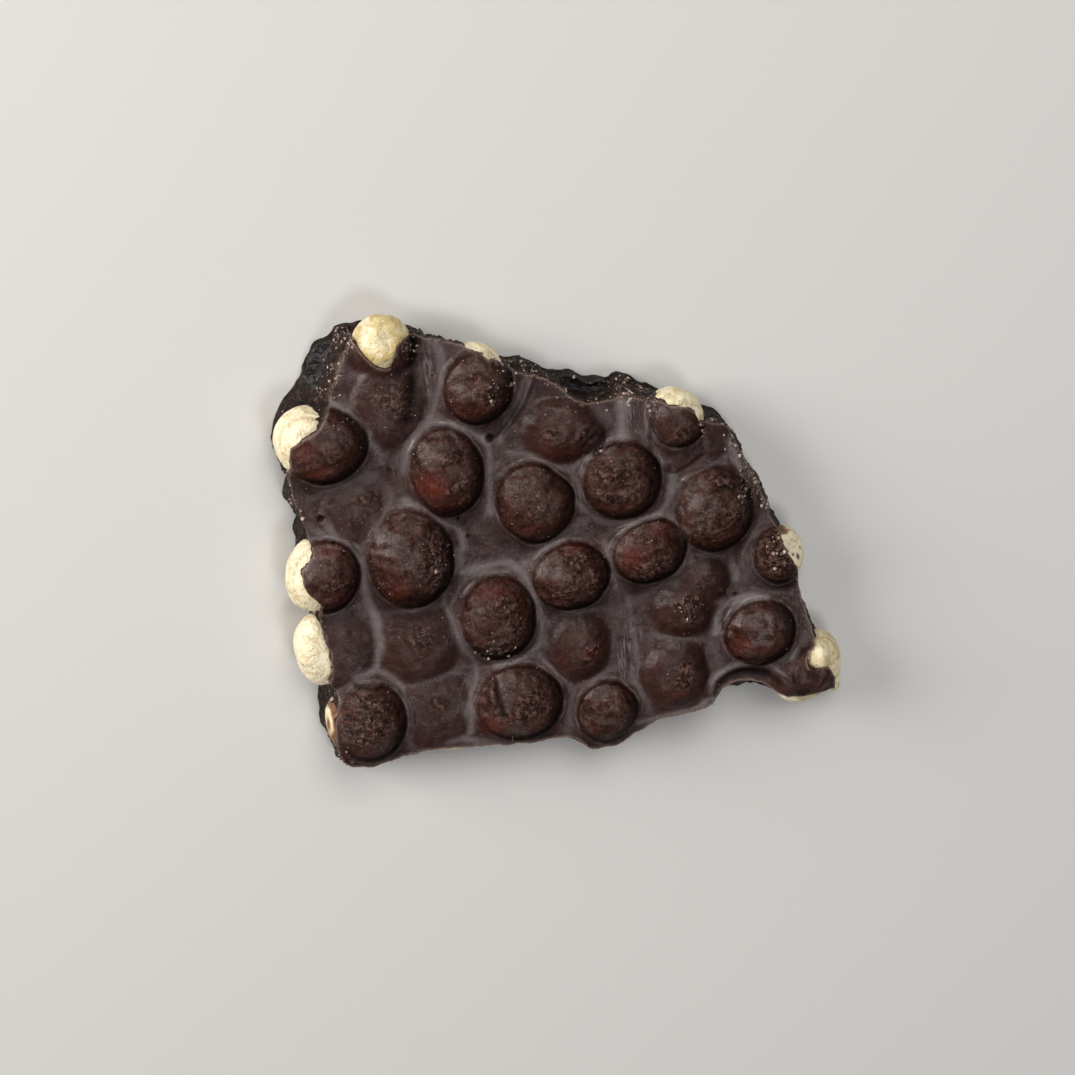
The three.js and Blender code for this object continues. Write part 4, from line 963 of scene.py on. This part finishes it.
def make_kernel(name, middle, half, turn, seed, tan, folded, seam):
    """A bare hazelnut of one or more lobes, set in its place and cut where it was broken through."""
    points, quads, triangles, marks = [], [], [], {}
    for number, (place, size, way) in enumerate(((middle, half, turn), *LOBES.get(name, ()))):
        surface, values = kernel_surface(size, name if number == 0 else "", seed + 3 * number, folded, seam)
        sides, ends = kernel_faces(sum(len(p) for p in points))
        quads.append(sides)
        triangles.append(ends)
        points.append(turned_points(surface, way, place))
        for key, value in values.items():
            marks.setdefault(key, []).append(np.concatenate([value[[0, -1], 0], value[1:-1].ravel()]))
    points = np.concatenate(points)
    if name in CUT_PLANES:
        points[:, 1] = np.maximum(points[:, 1], CUT_PLANES[name] + 0.15 * lumps(*points.T, 1.2, 99))
    marks = {key: np.concatenate(values) for key, values in marks.items()}
    marks["tan"] = np.full(len(points), tan)
    return put_mesh("kernel_" + name, points, np.concatenate(quads), np.concatenate(triangles), marks=marks)


# ---- Crumbs ----
def make_crumbs(slab):
    """Crumbs that cling to the slab, as one mesh: crooked boxes, each turned its own way.

    Round each spot of the table, points of the slab's surface are drawn by lot and a box set on each."""
    places = np.empty(len(slab.data.vertices) * 3, np.float32)
    slab.data.vertices.foreach_get("co", places)
    places = places.reshape(-1, 3) / MM
    lot = np.random.default_rng(CRUMB_LOT)
    seats = []
    for x, y, radius, count in CRUMB_SPOTS:
        away = np.hypot(places[:, 0] - x, places[:, 1] - y) / radius
        weight = np.exp(-2 * away ** 2) * (away < 1.6) * (places[:, 2] > 2)
        seats.append(places[lot.choice(len(places), count, p=weight / weight.sum())])
    seats = np.concatenate(seats)
    count = len(seats)
    size = CRUMB_LEAST + CRUMB_MORE * lot.random((count, 1, 1)) ** 2
    corners = np.array([[x, y, z] for z in (-1, 1) for y in (-1, 1) for x in (-1, 1)], float)
    boxes = corners[None] * size * lot.uniform(0.5, 1.3, (count, 1, 3))
    boxes = boxes + lot.normal(0, 0.25, (count, 8, 3)) * size
    frames = np.linalg.qr(lot.normal(0, 1, (count, 3, 3)))[0]
    frames[:, :, 0] *= np.sign(np.linalg.det(frames))[:, None]
    points = np.einsum("nij,nkj->nki", frames, boxes) + seats[:, None]
    sides = np.array([[0, 2, 3, 1], [4, 5, 7, 6], [0, 1, 5, 4], [2, 6, 7, 3], [0, 4, 6, 2], [1, 3, 7, 5]])
    quads = (sides[None] + 8 * np.arange(count)[:, None, None]).reshape(-1, 4)
    tone = np.repeat(lot.random(count), 8)
    return put_mesh("chocolate_crumbs", points.reshape(-1, 3), quads, marks={"tone": tone}, smooth=False)


# ---- Shader maths ----
class Wire:
    """An output socket. Arithmetic on wires adds Math nodes to their tree."""

    def __init__(self, nodes, socket):
        self.nodes, self.socket = nodes, socket

    def _math(self, operation, *values):
        return self.nodes.add("ShaderNodeMath", {"operation": operation}, dict(enumerate(values)))

    def __add__(self, other):
        return self._math("ADD", self, other)

    def __sub__(self, other):
        return self._math("SUBTRACT", self, other)

    def __mul__(self, other):
        return self._math("MULTIPLY", self, other)

    def __rsub__(self, other):
        return self._math("SUBTRACT", other, self)

    __radd__ = __add__
    __rmul__ = __mul__

    def magnitude(self):
        return self._math("ABSOLUTE", self)

    def clamp(self):
        return self._math("MINIMUM", self._math("MAXIMUM", self, 0.0), 1.0)

    def step(self, low, high):
        """0 below low and 1 above high, with a smooth way between. low may be the larger."""
        settings = {"interpolation_type": "SMOOTHSTEP"}
        if low < high:
            values = {"Value": self, "From Min": low, "From Max": high}
        else:
            values = {"Value": self, "From Min": high, "From Max": low, "To Min": 1.0, "To Max": 0.0}
        return self.nodes.add("ShaderNodeMapRange", settings, values)


class Nodes:
    """A new material's tree, with its Principled shader and output already joined."""

    def __init__(self, name):
        self.material = bpy.data.materials.new(name)
        self.material.use_nodes = True
        self.tree = self.material.node_tree
        self.tree.nodes.clear()
        self.shader = self.tree.nodes.new("ShaderNodeBsdfPrincipled")
        self.end = self.tree.nodes.new("ShaderNodeOutputMaterial")
        self.tree.links.new(self.shader.outputs[0], self.end.inputs[0])

    def add(self, kind, settings=None, inputs=None, output=0):
        """A node of a type: its settings first, then the values or wires of its sockets. Gives an output."""
        node = self.tree.nodes.new(kind)
        for key, value in (settings or {}).items():
            setattr(node, key, value)
        for key, value in (inputs or {}).items():
            self.feed(node.inputs[key], value)
        return Wire(self, node.outputs[output])

    def feed(self, socket, value):
        if isinstance(value, Wire):
            self.tree.links.new(value.socket, socket)
        elif socket.type == "RGBA" and len(value) == 3:
            socket.default_value = (*value, 1)
        else:
            socket.default_value = value

    def place(self):
        """Object coordinates, in metres."""
        return self.add("ShaderNodeTexCoord", output="Object")

    def mark(self, name):
        """A float attribute of the mesh."""
        return self.add("ShaderNodeAttribute", {"attribute_name": name}, output="Fac")

    def noise(self, place, size, detail=2.0, roughness=0.5, distortion=0.0):
        """Noise whose blobs are about size mm across, from 0 to 1."""
        values = {"Vector": place, "Scale": 1 / (size * MM), "Detail": detail, "Roughness": roughness,
                  "Distortion": distortion}
        return self.add("ShaderNodeTexNoise", {"noise_dimensions": "3D"}, values)

    def cells(self, place, size, output="Distance"):
        """Distance to the nearest of points scattered about size mm apart, in those units."""
        return self.add("ShaderNodeTexVoronoi", None, {"Vector": place, "Scale": 1 / (size * MM)}, output)

    def stretch(self, place, scale, turn=(0, 0, 0)):
        """Coordinates drawn out along an axis wherever its scale is below 1."""
        return self.add("ShaderNodeMapping", None, {"Vector": place, "Scale": scale, "Rotation": turn})

    def blend(self, share, first, second):
        """A colour between two colours."""
        return self.add("ShaderNodeMix", {"data_type": "RGBA"}, {0: share, 6: first, 7: second}, output=2)

    def coats(self, colour, *layers):
        """A colour with others laid over it in turn, each by its share."""
        for share, over in layers:
            colour = self.blend(share, colour, over)
        return colour

    def bump(self, height, depth, normal=None):
        """A normal from a height of 0 to 1 that stands for depth mm."""
        values = {"Height": height, "Distance": depth * MM, "Strength": 1.0}
        if normal is not None:
            values["Normal"] = normal
        return self.add("ShaderNodeBump", None, values)

    def relief(self, *layers):
        """A normal from heights of 0 to 1 laid over each other in turn, each with its depth in mm."""
        normal = None
        for height, depth in layers:
            normal = self.bump(height, depth, normal)
        return normal

    def fill(self, shader, inputs):
        for key, value in inputs.items():
            self.feed(shader.inputs[key.replace("_", " ")], value)

    def finish(self, **inputs):
        self.fill(self.shader, inputs)
        return self.material

    def finish_two(self, share, dull, glossy):
        """The material as a mix of a dull shader and a glossy one, by the share of the glossy one."""
        second = self.tree.nodes.new("ShaderNodeBsdfPrincipled")
        self.fill(self.shader, dull)
        self.fill(second, glossy)
        mix = self.tree.nodes.new("ShaderNodeMixShader")
        self.feed(mix.inputs[0], share)
        self.tree.links.new(self.shader.outputs[0], mix.inputs[1])
        self.tree.links.new(second.outputs[0], mix.inputs[2])
        self.tree.links.new(mix.outputs[0], self.end.inputs[0])
        return self.material


def sparkle(nodes, place, size, share, radius):
    """Tiny specks: the middles of cells about size mm apart, in the given share of the cells."""
    near = 1 - nodes.cells(place, size).step(radius * 0.6, radius)
    pick = nodes.add("ShaderNodeSeparateColor", None, {0: nodes.cells(place, size, output="Color")})
    return near * pick.step(1 - share, 1 - share * 0.9)


# The marks of the poured face that are numbers.
FACE_MARKS = ("dome", "dust", "red", "foot", "rim", "shade", "low", "streak", "chip", "scuff", "glow",
              "polish", "shine", "crack")
STROKE_PITCH = 3.6          # how close the strokes round a nut lie


def face_fields(nodes):
    """The marks, noises and masks that the colour, sheen and relief of the poured face share.

    web is 1 between the nuts. strokes follow the foot of the nearest nut. lip is a broken line just outside
    it, which carries a painted highlight, and south is the web below it, darkened by painted shadow. The
    satin bands are painted sheen, and pocked is the scuffed places."""
    at = SimpleNamespace(**{name: nodes.mark(name) for name in FACE_MARKS})
    at.place = nodes.place()
    at.web = (1 - at.dome * 1.6).clamp()
    at.broad = nodes.noise(at.place, 6, 4, 0.6)
    at.fine = nodes.noise(at.place, 0.28, 3, 0.7)
    at.grain = nodes.noise(at.place, 0.55, 4, 0.75)
    at.pebble = nodes.noise(at.place, 0.9, 4, 0.75, 0.4)
    at.blotch = nodes.noise(at.place, 2.2, 5, 0.65, 0.5)
    flow = nodes.add("ShaderNodeAttribute", {"attribute_name": "flow"}, output="Vector")
    east = nodes.add("ShaderNodeSeparateXYZ", None, {0: flow})
    north = nodes.add("ShaderNodeSeparateXYZ", None, {0: flow}, output=1)
    around = {number: part * STROKE_PITCH for number, part in enumerate((at.foot, east, north))}
    around = nodes.add("ShaderNodeCombineXYZ", None, around)
    values = {"Vector": around, "Scale": 1.0, "Detail": 5.0, "Roughness": 0.7}
    at.strokes = nodes.add("ShaderNodeTexNoise", None, values)
    at.upright = nodes.noise(nodes.stretch(at.place, (1, 0.1, 1), (0, 0, 0.05)), 0.55, 4, 0.65)
    at.scratch = nodes.noise(nodes.stretch(at.place, (1, 0.3, 1), (0, 0, 0.7)), 0.35, 3, 0.6)
    wander = at.foot + (at.blotch - 0.5) + (at.strokes - 0.5) * 0.4
    at.lip = (1 - (wander - 0.6).magnitude().step(0.05, 0.55)) * at.web * at.broad.step(0.38, 0.56)
    # Painted shadow: the web just below each nut is darkened.
    at.south = (0 - north).step(0.2, 0.9) * at.foot.step(4.5, 1.8) * at.web
    at.band = (at.shine * (0.35 + at.strokes * 1.3) * at.web).clamp()
    at.pocked = (at.scuff * 1.3 + at.chip).clamp()
    at.patchy = at.broad.step(0.5, 0.6)
    # Painted glints: tiny bright specks, most on the nuts, their dark flanks and the rim.
    at.specks = sparkle(nodes, at.place, 1.0, 0.16, 0.13) * (0.4 + at.dome + at.shade + at.rim).clamp()
    return at


def face_colour(nodes, at, look):
    """Clouds and painted satin sheen bands in the web, painted warm reflections and dusty scuffs on the nuts,
    painted shade at the feet and in pits and grooves.
    """
    light = (at.fine.step(0.55, 0.7) * 0.3
             + at.grain.step(0.53, 0.66) * at.dome * (0.35 + 0.65 * at.dust)
             + at.scratch.step(0.54, 0.66) * at.dome * 0.4
             + at.pebble.step(0.6, 0.68) * at.dome * 0.4).clamp()
    pale = (at.pebble.step(0.5, 0.6) * at.pocked).clamp()
    gaps = (at.pebble.step(0.48, 0.4) * at.pocked * 1.3
            + at.grain.step(0.46, 0.36) * at.dome * (0.2 + at.patchy * 0.4)
            + at.pebble.step(0.41, 0.33) * at.dome * 0.4).clamp()
    # Painted shade on the flanks near the nuts' feet, broken up by the pebbles.
    ragged = (at.shade * 1.15 - at.pebble.step(0.45, 0.6) * 0.4).clamp()
    return nodes.coats(
        nodes.blend((at.dome * 1.2).clamp(), look.web, look.dome),
        ((at.blotch.step(0.42, 0.64) * (0.35 + at.dome * 0.3)).clamp(), look.soft),
        ((at.blotch.step(0.47, 0.37) * at.dome * 0.24).clamp(), look.dark_and_shade),
        ((at.strokes.step(0.47, 0.66) * at.web * (0.06 + at.foot.step(4.0, 1.6) * 0.22)).clamp(), look.ring),
        (at.band, look.ring),
        ((at.upright.step(0.5, 0.62) * at.streak * at.web).clamp(), look.ring),
        # Painted warm reflections on the nuts' flanks and bottom flanks, over each nut's own red tint.
        ((at.glow * 0.8 + at.red * at.blotch.step(0.4, 0.75) * 0.35 + at.low * 0.1).clamp(), look.red),
        (light * 0.5, look.dust),
        (gaps * 0.8, look.dark_and_shade),
        (pale * 0.9, look.dust),
        # Painted highlight along the lip round each nut.
        ((at.lip * (0.1 + 0.5 * at.strokes.step(0.4, 0.6))).clamp(), look.ring),
        # Painted shade on the flanks near the feet, inside pits and grooves, and on the web below the nuts.
        ((ragged * 0.85 + at.crack * 0.8 + at.south * 0.5).clamp(), look.dark_and_shade),
        ((at.chip * at.pebble.step(0.56, 0.66)).clamp(), look.crumb),
        # Pale crumbly rim, partly a painted highlight along the edge.
        (at.rim * at.fine.step(0.38, 0.5), look.crumb),
        (at.specks, look.painted_glint))


def face_sheen(at):
    """The share of the satin shader: most in the web and on polished places, least in scuffs and shade."""
    web = at.web * (0.57 + at.broad.step(0.35, 0.6) * 0.3 - at.foot.step(1.2, 0.2) * 0.4)
    web = web - (1 - at.blotch.step(0.4, 0.5)) * 0.45 * at.web
    worn = at.fine.step(0.6, 0.7) * 0.3 + at.pocked * 0.6 + at.shade * 0.75 + at.crack + at.south * 0.5
    bright = at.lip * 0.15 + at.polish + at.band * 0.5 + at.dome * (0.2 + 0.8 * at.broad.step(0.4, 0.6))
    return (web - worn + bright).clamp()


def poured_chocolate(look):
    """Satin chocolate between the nuts, duller, browner and grainier over them.

    Round each nut runs a thin polished lip with a painted highlight, paler than the web, and fine strokes
    follow it. Bands of painted satin sheen run between the nuts, and painted shade darkens their lower right
    flanks. Scuffed patches are pebbled: pale crumbs with dark gaps between."""
    nodes = Nodes("poured_chocolate")
    at = face_fields(nodes)
    colour = face_colour(nodes, at, look)
    rough = (0.21 + at.dome * 0.07 - at.polish * 0.1 + (at.blotch - 0.5) * 0.2
             + (at.fine - 0.5) * 0.15).clamp()
    normal = nodes.relief(
        (at.lip, 0.12),
        ((at.strokes * 0.8 + at.upright * at.streak * 2) * at.web, 0.12),
        (at.blotch * (1 - at.pocked), 0.25),
        (nodes.noise(at.place, 4.5, 1.0, 0.5) * at.dome, 2.2),
        (at.pebble * at.pocked, 1.0),
        (at.grain * at.dome * (0.2 + at.patchy * 0.5 + at.dust * 0.3), 0.16),
        (at.fine, 0.04),
        (at.specks, 0.1))
    dull = {"Base_Color": colour, "Roughness": (0.5 + (at.grain - 0.5) * 0.4).clamp(), "Normal": normal,
            "Specular_IOR_Level": 0.12}
    satin = {"Base_Color": colour, "Roughness": rough, "Normal": normal, "Specular_IOR_Level": 0.4}
    return nodes.finish_two(face_sheen(at), dull, satin)


def broken_chocolate(look):
    """A brittle break: dull and grainy, flecked with lighter crumbs, and ribbed in a nut's hollow."""
    nodes = Nodes("broken_chocolate")
    place = nodes.place()
    hollow, rim = nodes.mark("hollow"), nodes.mark("rim")
    grain = nodes.noise(place, 0.45, 5, 0.7)
    broad = nodes.noise(place, 3.2, 4, 0.6)
    clods = nodes.noise(place, 0.9, 5, 0.75, 0.5)
    ribs = nodes.noise(nodes.stretch(place, (0.35, 1.0, 1.0), (0, 0, 0.9)), 0.8, 4, 0.6, 0.6)
    # Painted glints, fewer in a nut's print.
    specks = sparkle(nodes, place, 0.75, 0.28, 0.16) * (1 - hollow * 0.7)
    colour = nodes.coats(
        nodes.blend(broad.step(0.3, 0.7), look.break_dark, look.break_light),
        (clods.step(0.53, 0.6) * (1 - hollow) * (0.3 + rim * 0.6), look.crumb),
        (clods.step(0.48, 0.36) * 0.95, look.dark_and_shade),
        (hollow * 0.95, nodes.blend(ribs.step(0.42, 0.6), look.dark_and_shade, look.cavity)),
        (rim * grain.step(0.35, 0.6) * 0.9, look.crumb),
        (specks, look.painted_glint))
    rough = 0.55 + (grain - 0.5) * 0.3 - hollow * 0.2
    normal = nodes.relief((grain, 0.3), (clods * (1 - hollow * 0.8), 1.4), (ribs * hollow, 0.8))
    return nodes.finish(Base_Color=colour, Roughness=rough.clamp(), Normal=normal, Specular_IOR_Level=0.2)


def crumb_chocolate(look):
    """Crumbs: each has its own tone, from dark to pale, and a dusty grain."""
    nodes = Nodes("crumb_chocolate")
    place = nodes.place()
    tone, grain = nodes.mark("tone"), nodes.noise(place, 0.2, 3)
    colour = nodes.blend(tone.step(0.45, 1.0), look.break_light, look.crumb_pale)
    colour = nodes.blend(grain.step(0.45, 0.7) * 0.4, colour, look.crumb)
    normal = nodes.bump(grain, 0.08)
    return nodes.finish(Base_Color=colour, Roughness=(0.4 + grain * 0.3).clamp(), Normal=normal)


def moulded_chocolate(look):
    """The flat underside as it left the mould: smooth, with faint cloudy patches and small air marks."""
    nodes = Nodes("moulded_chocolate")
    place = nodes.place()
    cloud = nodes.noise(place, 14, 4, 0.6)
    fine = nodes.noise(place, 0.6, 3)
    colour = nodes.blend(cloud.step(0.35, 0.75) * 0.5, look.web, look.ring)
    dots = 1 - nodes.cells(place, 5.5).step(0.05, 0.085)
    rough = 0.3 + (cloud - 0.5) * 0.2 + (fine - 0.5) * 0.08
    normal = nodes.relief((dots, -0.25), (nodes.noise(place, 3.0, 2), 0.08))
    return nodes.finish(Base_Color=colour, Roughness=rough.clamp(), Normal=normal)


def kernel_finish(look):
    """Blanched hazelnut: ivory, with tan clouds, dark seams and pocks, and brown skin where it is left."""
    nodes = Nodes("hazelnut_kernel")
    place = nodes.place()
    tan, skin = nodes.mark("tan"), nodes.mark("skin")
    groove, pock = nodes.mark("groove"), nodes.mark("pock")
    cloud = nodes.noise(place, 3.4, 4, 0.6, 0.3)
    mottle = nodes.noise(place, 1.7, 4, 0.65, 0.8)
    grain = nodes.noise(place, 0.5, 4, 0.65)
    vein = (nodes.noise(place, 3.0, 3, 0.55, 1.2) - 0.5).magnitude().step(0.03, 0.004)
    vein = vein * mottle.step(0.42, 0.55)
    fibre = nodes.noise(nodes.stretch(place, (1, 0.2, 1)), 0.35, 3, 0.6)
    colour = nodes.coats(
        nodes.blend((tan * (cloud.step(0.36, 0.6) * 0.8 + 0.2)).clamp(), look.ivory, look.tan),
        (mottle.step(0.5, 0.64) * (0.25 + tan * 0.3), look.tan),
        (grain.step(0.5, 0.72) * 0.3, look.tan),
        ((groove * 0.7 + vein * 0.3).clamp(), look.fold),
        (pock.clamp(), look.seam),
        (skin, nodes.blend(fibre.step(0.35, 0.7), look.skin_dark, look.skin)))
    rough = 0.42 + (grain - 0.5) * 0.2 + skin * 0.1
    normal = nodes.relief((cloud, 1.0), (mottle, 0.35), (vein, -0.08), (grain, 0.16),
                          (skin + fibre * skin * 0.3, 0.15))
    return nodes.finish(Base_Color=colour, Roughness=rough.clamp(), Normal=normal)


# ---- Settings ----
def colour_setting(name, description, default):
    return bpy.props.FloatVectorProperty(name=name, description=description, subtype="COLOR", size=3, min=0.0,
                                         max=1.0, default=default)


def number_setting(name, description, default, unit="NONE"):
    return bpy.props.FloatProperty(name=name, description=description, default=default, unit=unit)


class SlabSizes(bpy.types.PropertyGroup):
    web: number_setting("Web", "Thickness between the nuts, in mm", 9.7)
    moat: number_setting("Moat", "Depth of the dip round a nut, in mm", 0.06)
    swell: number_setting("Swell", "Rise and fall of the web, in mm", 0.45)
    nut_middle: number_setting("Nut middle", "Height of a nut's middle, in mm", 7.4)
    rough: number_setting("Crags", "How strong the crags of the breaks are, as a share", 1.0)


class ChocolateLook(bpy.types.PropertyGroup):
    web: colour_setting("Web", "Chocolate between the nuts", (0.024, 0.0088, 0.007))
    dome: colour_setting("Dome", "Chocolate over the nuts", (0.025, 0.0066, 0.0038))
    soft: colour_setting("Soft", "Paler, pinkish clouds in the coat", (0.062, 0.0245, 0.0195))
    # Red is each nut's own red tint, and painted warm reflections on the nuts' flanks.
    red: colour_setting("Red", "Warm patches over the nuts", (0.075, 0.01, 0.0045))
    dust: colour_setting("Dust", "Scuffed, dusty coat", (0.16, 0.092, 0.072))
    # Ring is a paler coat for strokes, upright streaks and the underside's clouds, and painted satin sheen
    # and highlights in the web.
    ring: colour_setting("Ring", "Satin bands between the nuts", (0.135, 0.108, 0.105))
    # Dark patches, gaps and clods, and painted shade at the feet of the nuts, in pits and grooves and below
    # the nuts.
    dark_and_shade: colour_setting("Crease", "Steep foot of a nut", (0.0038, 0.0017, 0.0014))
    crumb: colour_setting("Crumb", "Crumbs and chipped edges", (0.2, 0.125, 0.096))
    crumb_pale: colour_setting("Crumb, pale", "The palest crumbs", (0.5, 0.37, 0.3))
    cavity: colour_setting("Hollow", "Print of a nut that dropped out", (0.058, 0.052, 0.056))
    # Painted glints: tiny bright specks on the face and the breaks.
    painted_glint: colour_setting("Speck", "Tiny bright specks", (0.6, 0.52, 0.46))
    break_dark: colour_setting("Break, dark", "Dark parts of a break", (0.008, 0.004, 0.003))
    break_light: colour_setting("Break, light", "Lighter parts of a break", (0.034, 0.0165, 0.012))


class KernelLook(bpy.types.PropertyGroup):
    ivory: colour_setting("Ivory", "Clean kernel", (0.82, 0.73, 0.53))
    tan: colour_setting("Tan", "Tan clouds", (0.56, 0.42, 0.175))
    fold: colour_setting("Fold", "Folds and seams", (0.36, 0.23, 0.095))
    seam: colour_setting("Pock", "Dark pocks", (0.09, 0.045, 0.022))
    skin: colour_setting("Skin", "Brown skin", (0.24, 0.105, 0.042))
    skin_dark: colour_setting("Skin, dark", "Dark fibres of the skin", (0.12, 0.04, 0.016))


class StudioLook(bpy.types.PropertyGroup):
    floor: colour_setting("Floor", "Plain pale floor", (0.585, 0.572, 0.55))
    front: number_setting("Front", "Power of the front softbox", 3.4, "POWER")
    side: number_setting("Side", "Power of the side softbox", 10.0, "POWER")
    top: number_setting("Top", "Power of the softbox overhead", 5.6, "POWER")
    warm: number_setting("Warm", "Power of the low warm light", 0.22, "POWER")
    air: number_setting("Air", "Strength of the light all round", 0.075)


# ---- Operators ----
class CHOCOLATE_OT_slab(bpy.types.Operator):
    """Make the slab of chocolate: poured face, broken sides and flat underside"""

    bl_idname = "chocolate.slab"
    bl_label = "Chocolate slab"

    def execute(self, context):
        look = context.scene.chocolate_look
        piece = make_slab(context.scene.slab_sizes)
        for material in (poured_chocolate(look), broken_chocolate(look), moulded_chocolate(look)):
            piece.data.materials.append(material)
        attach(piece, "root")
        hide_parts("chocolate")
        return {"FINISHED"}


class CHOCOLATE_OT_crumbs(bpy.types.Operator):
    """Make the crumbs that cling to the slab's broken edges and scuffed nuts"""

    bl_idname = "chocolate.crumbs"
    bl_label = "Crumbs"

    def execute(self, context):
        slab = bpy.data.objects.get("chocolate_slab")
        if slab is None:
            raise RuntimeError("The crumbs are set on the slab, so the slab is made first")
        piece = make_crumbs(slab)
        piece.data.materials.append(crumb_chocolate(context.scene.chocolate_look))
        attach(piece, "root")
        return {"FINISHED"}


class CHOCOLATE_OT_kernels(bpy.types.Operator):
    """Make the hazelnuts that stand bare in the broken sides"""

    bl_idname = "chocolate.kernels"
    bl_label = "Bare hazelnuts"

    def execute(self, context):
        finish = kernel_finish(context.scene.kernel_look)
        for kernel in KERNELS:
            piece = make_kernel(*kernel)
            piece.data.materials.append(finish)
            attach(piece, "root")
            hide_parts("hazelnut_" + kernel[0])
        return {"FINISHED"}


class CHOCOLATE_OT_studio(bpy.types.Operator):
    """Make the pale floor, the soft lights and the camera"""

    bl_idname = "chocolate.studio"
    bl_label = "Studio"

    def execute(self, context):
        look = context.scene.studio_look
        make_floor(look)
        for name, way, distance, size, colour in SOFTBOXES:
            softbox(name, way, distance, size, getattr(look, name), colour)
        make_air(context, look.air)
        make_camera(context)
        context.scene.view_settings.view_transform = "Standard"
        return {"FINISHED"}


# ---- Studio ----
# The softboxes: way from the slab, distance and size in metres, and colour. The front one is where the face
# mirrors it, the side one on the left, the top one overhead and behind, the warm one near the floor.
SOFTBOXES = (
    ("front", (0.163, -0.337, 0.927), 1.1, 0.32, (0.95, 0.98, 1.0)),
    ("side", (-0.86, 0.39, 0.36), 0.9, 0.5, (1.0, 0.98, 0.95)),
    ("top", (0.10, 0.60, 0.79), 1.0, 0.6, (1.0, 0.99, 0.97)),
    ("warm", (-0.3, -0.8, 0.3), 0.8, 0.4, (1.0, 0.5, 0.32)),
)
LIGHT_AIM = (0.0, 0.0, 8.0)                # the point that the softboxes face
FLOOR_REACH = 3000.0                       # from the middle of the floor to its sides
CAMERA_WAY = (-0.16346, 0.33742, 0.92705)  # from the slab to the camera
CAMERA_RIGHT = (0.97825, -0.06621, 0.19659)    # the way that is right in the picture
CAMERA_AIM = (-5.0, 0.0, 10.0)             # the point in the middle of the picture
CAMERA_DISTANCE = 600.0
PICTURE_SIZE = 1075                        # pixels across the picture
PIXEL = 0.195                              # mm to a pixel at the aim
SENSOR = 36.0                              # width of the camera's sensor


def make_floor(look):
    """A flat floor at the slab's underside, faintly clouded."""
    nodes = Nodes("pale_floor")
    place = nodes.place()
    tone = nodes.noise(place, 60, 2)
    colour = nodes.blend(tone * 0.06, tuple(look.floor), tuple(0.9 * c for c in look.floor))
    points = [(x * FLOOR_REACH, y * FLOOR_REACH, 0) for x, y in ((-1, -1), (1, -1), (1, 1), (-1, 1))]
    floor = put_mesh("floor", points, [[0, 1, 2, 3]], smooth=False)
    floor.data.materials.append(nodes.finish(Base_Color=colour, Roughness=0.85))


def softbox(name, way, distance, size, power, colour):
    """A square lamp that faces the aim of the lights from a distance away."""
    light = bpy.data.lights.new(name, "AREA")
    light.shape, light.size, light.energy, light.color = "SQUARE", size, power, colour
    lamp = bpy.data.objects.new(name, light)
    way = Vector(way).normalized()
    lamp.location = Vector(LIGHT_AIM) * MM + way * distance
    lamp.rotation_euler = way.to_track_quat("Z", "Y").to_euler()
    bpy.context.scene.collection.objects.link(lamp)


def make_air(context, strength):
    """Faint, slightly blue light from all round."""
    world = bpy.data.worlds.new("air")
    world.use_nodes = True
    background = world.node_tree.nodes["Background"]
    background.inputs["Color"].default_value = (0.9, 0.95, 1.0, 1)
    background.inputs["Strength"].default_value = strength
    context.scene.world = world


def make_camera(context):
    """The camera, with a lens that gives PIXEL mm to a pixel at its aim."""
    lens = bpy.data.cameras.new("camera")
    lens.sensor_width = SENSOR
    lens.lens = SENSOR * (CAMERA_DISTANCE / PIXEL) / PICTURE_SIZE
    camera = bpy.data.objects.new("camera", lens)
    back, right = Vector(CAMERA_WAY).normalized(), Vector(CAMERA_RIGHT).normalized()
    up = back.cross(right)
    place = (Vector(CAMERA_AIM) + back * CAMERA_DISTANCE) * MM
    turn = Matrix((right, up, back)).transposed()
    camera.matrix_world = Matrix.Translation(place) @ turn.to_4x4()
    context.scene.collection.objects.link(camera)
    context.scene.camera = camera


class CHOCOLATE_PT_panel(bpy.types.Panel):
    bl_idname = "CHOCOLATE_PT_panel"
    bl_label = "Hazelnut chocolate slab"
    bl_space_type = "VIEW_3D"
    bl_region_type = "UI"
    bl_category = "Chocolate"

    def draw(self, context):
        for group in ("slab_sizes", "chocolate_look", "kernel_look", "studio_look"):
            settings = getattr(context.scene, group)
            box = self.layout.box()
            for name in settings.bl_rna.properties.keys():
                if name not in ("rna_type", "name"):
                    box.prop(settings, name)
        for operator in OPERATORS:
            self.layout.operator(operator.bl_idname)


GROUPS = {"slab_sizes": SlabSizes, "chocolate_look": ChocolateLook, "kernel_look": KernelLook,
          "studio_look": StudioLook}
OPERATORS = (CHOCOLATE_OT_slab, CHOCOLATE_OT_crumbs, CHOCOLATE_OT_kernels, CHOCOLATE_OT_studio)


def register():
    for group in GROUPS.values():
        bpy.utils.register_class(group)
    for name, group in GROUPS.items():
        setattr(bpy.types.Scene, name, bpy.props.PointerProperty(type=group))
    for item in (*OPERATORS, CHOCOLATE_PT_panel):
        bpy.utils.register_class(item)


def unregister():
    for item in (CHOCOLATE_PT_panel, *reversed(OPERATORS)):
        bpy.utils.unregister_class(item)
    for name, group in reversed(GROUPS.items()):
        delattr(bpy.types.Scene, name)
        bpy.utils.unregister_class(group)


def main():
    register()
    bpy.ops.chocolate.slab()
    bpy.ops.chocolate.crumbs()
    bpy.ops.chocolate.kernels()
    bpy.ops.chocolate.studio()


if __name__ == "__main__":
    main()
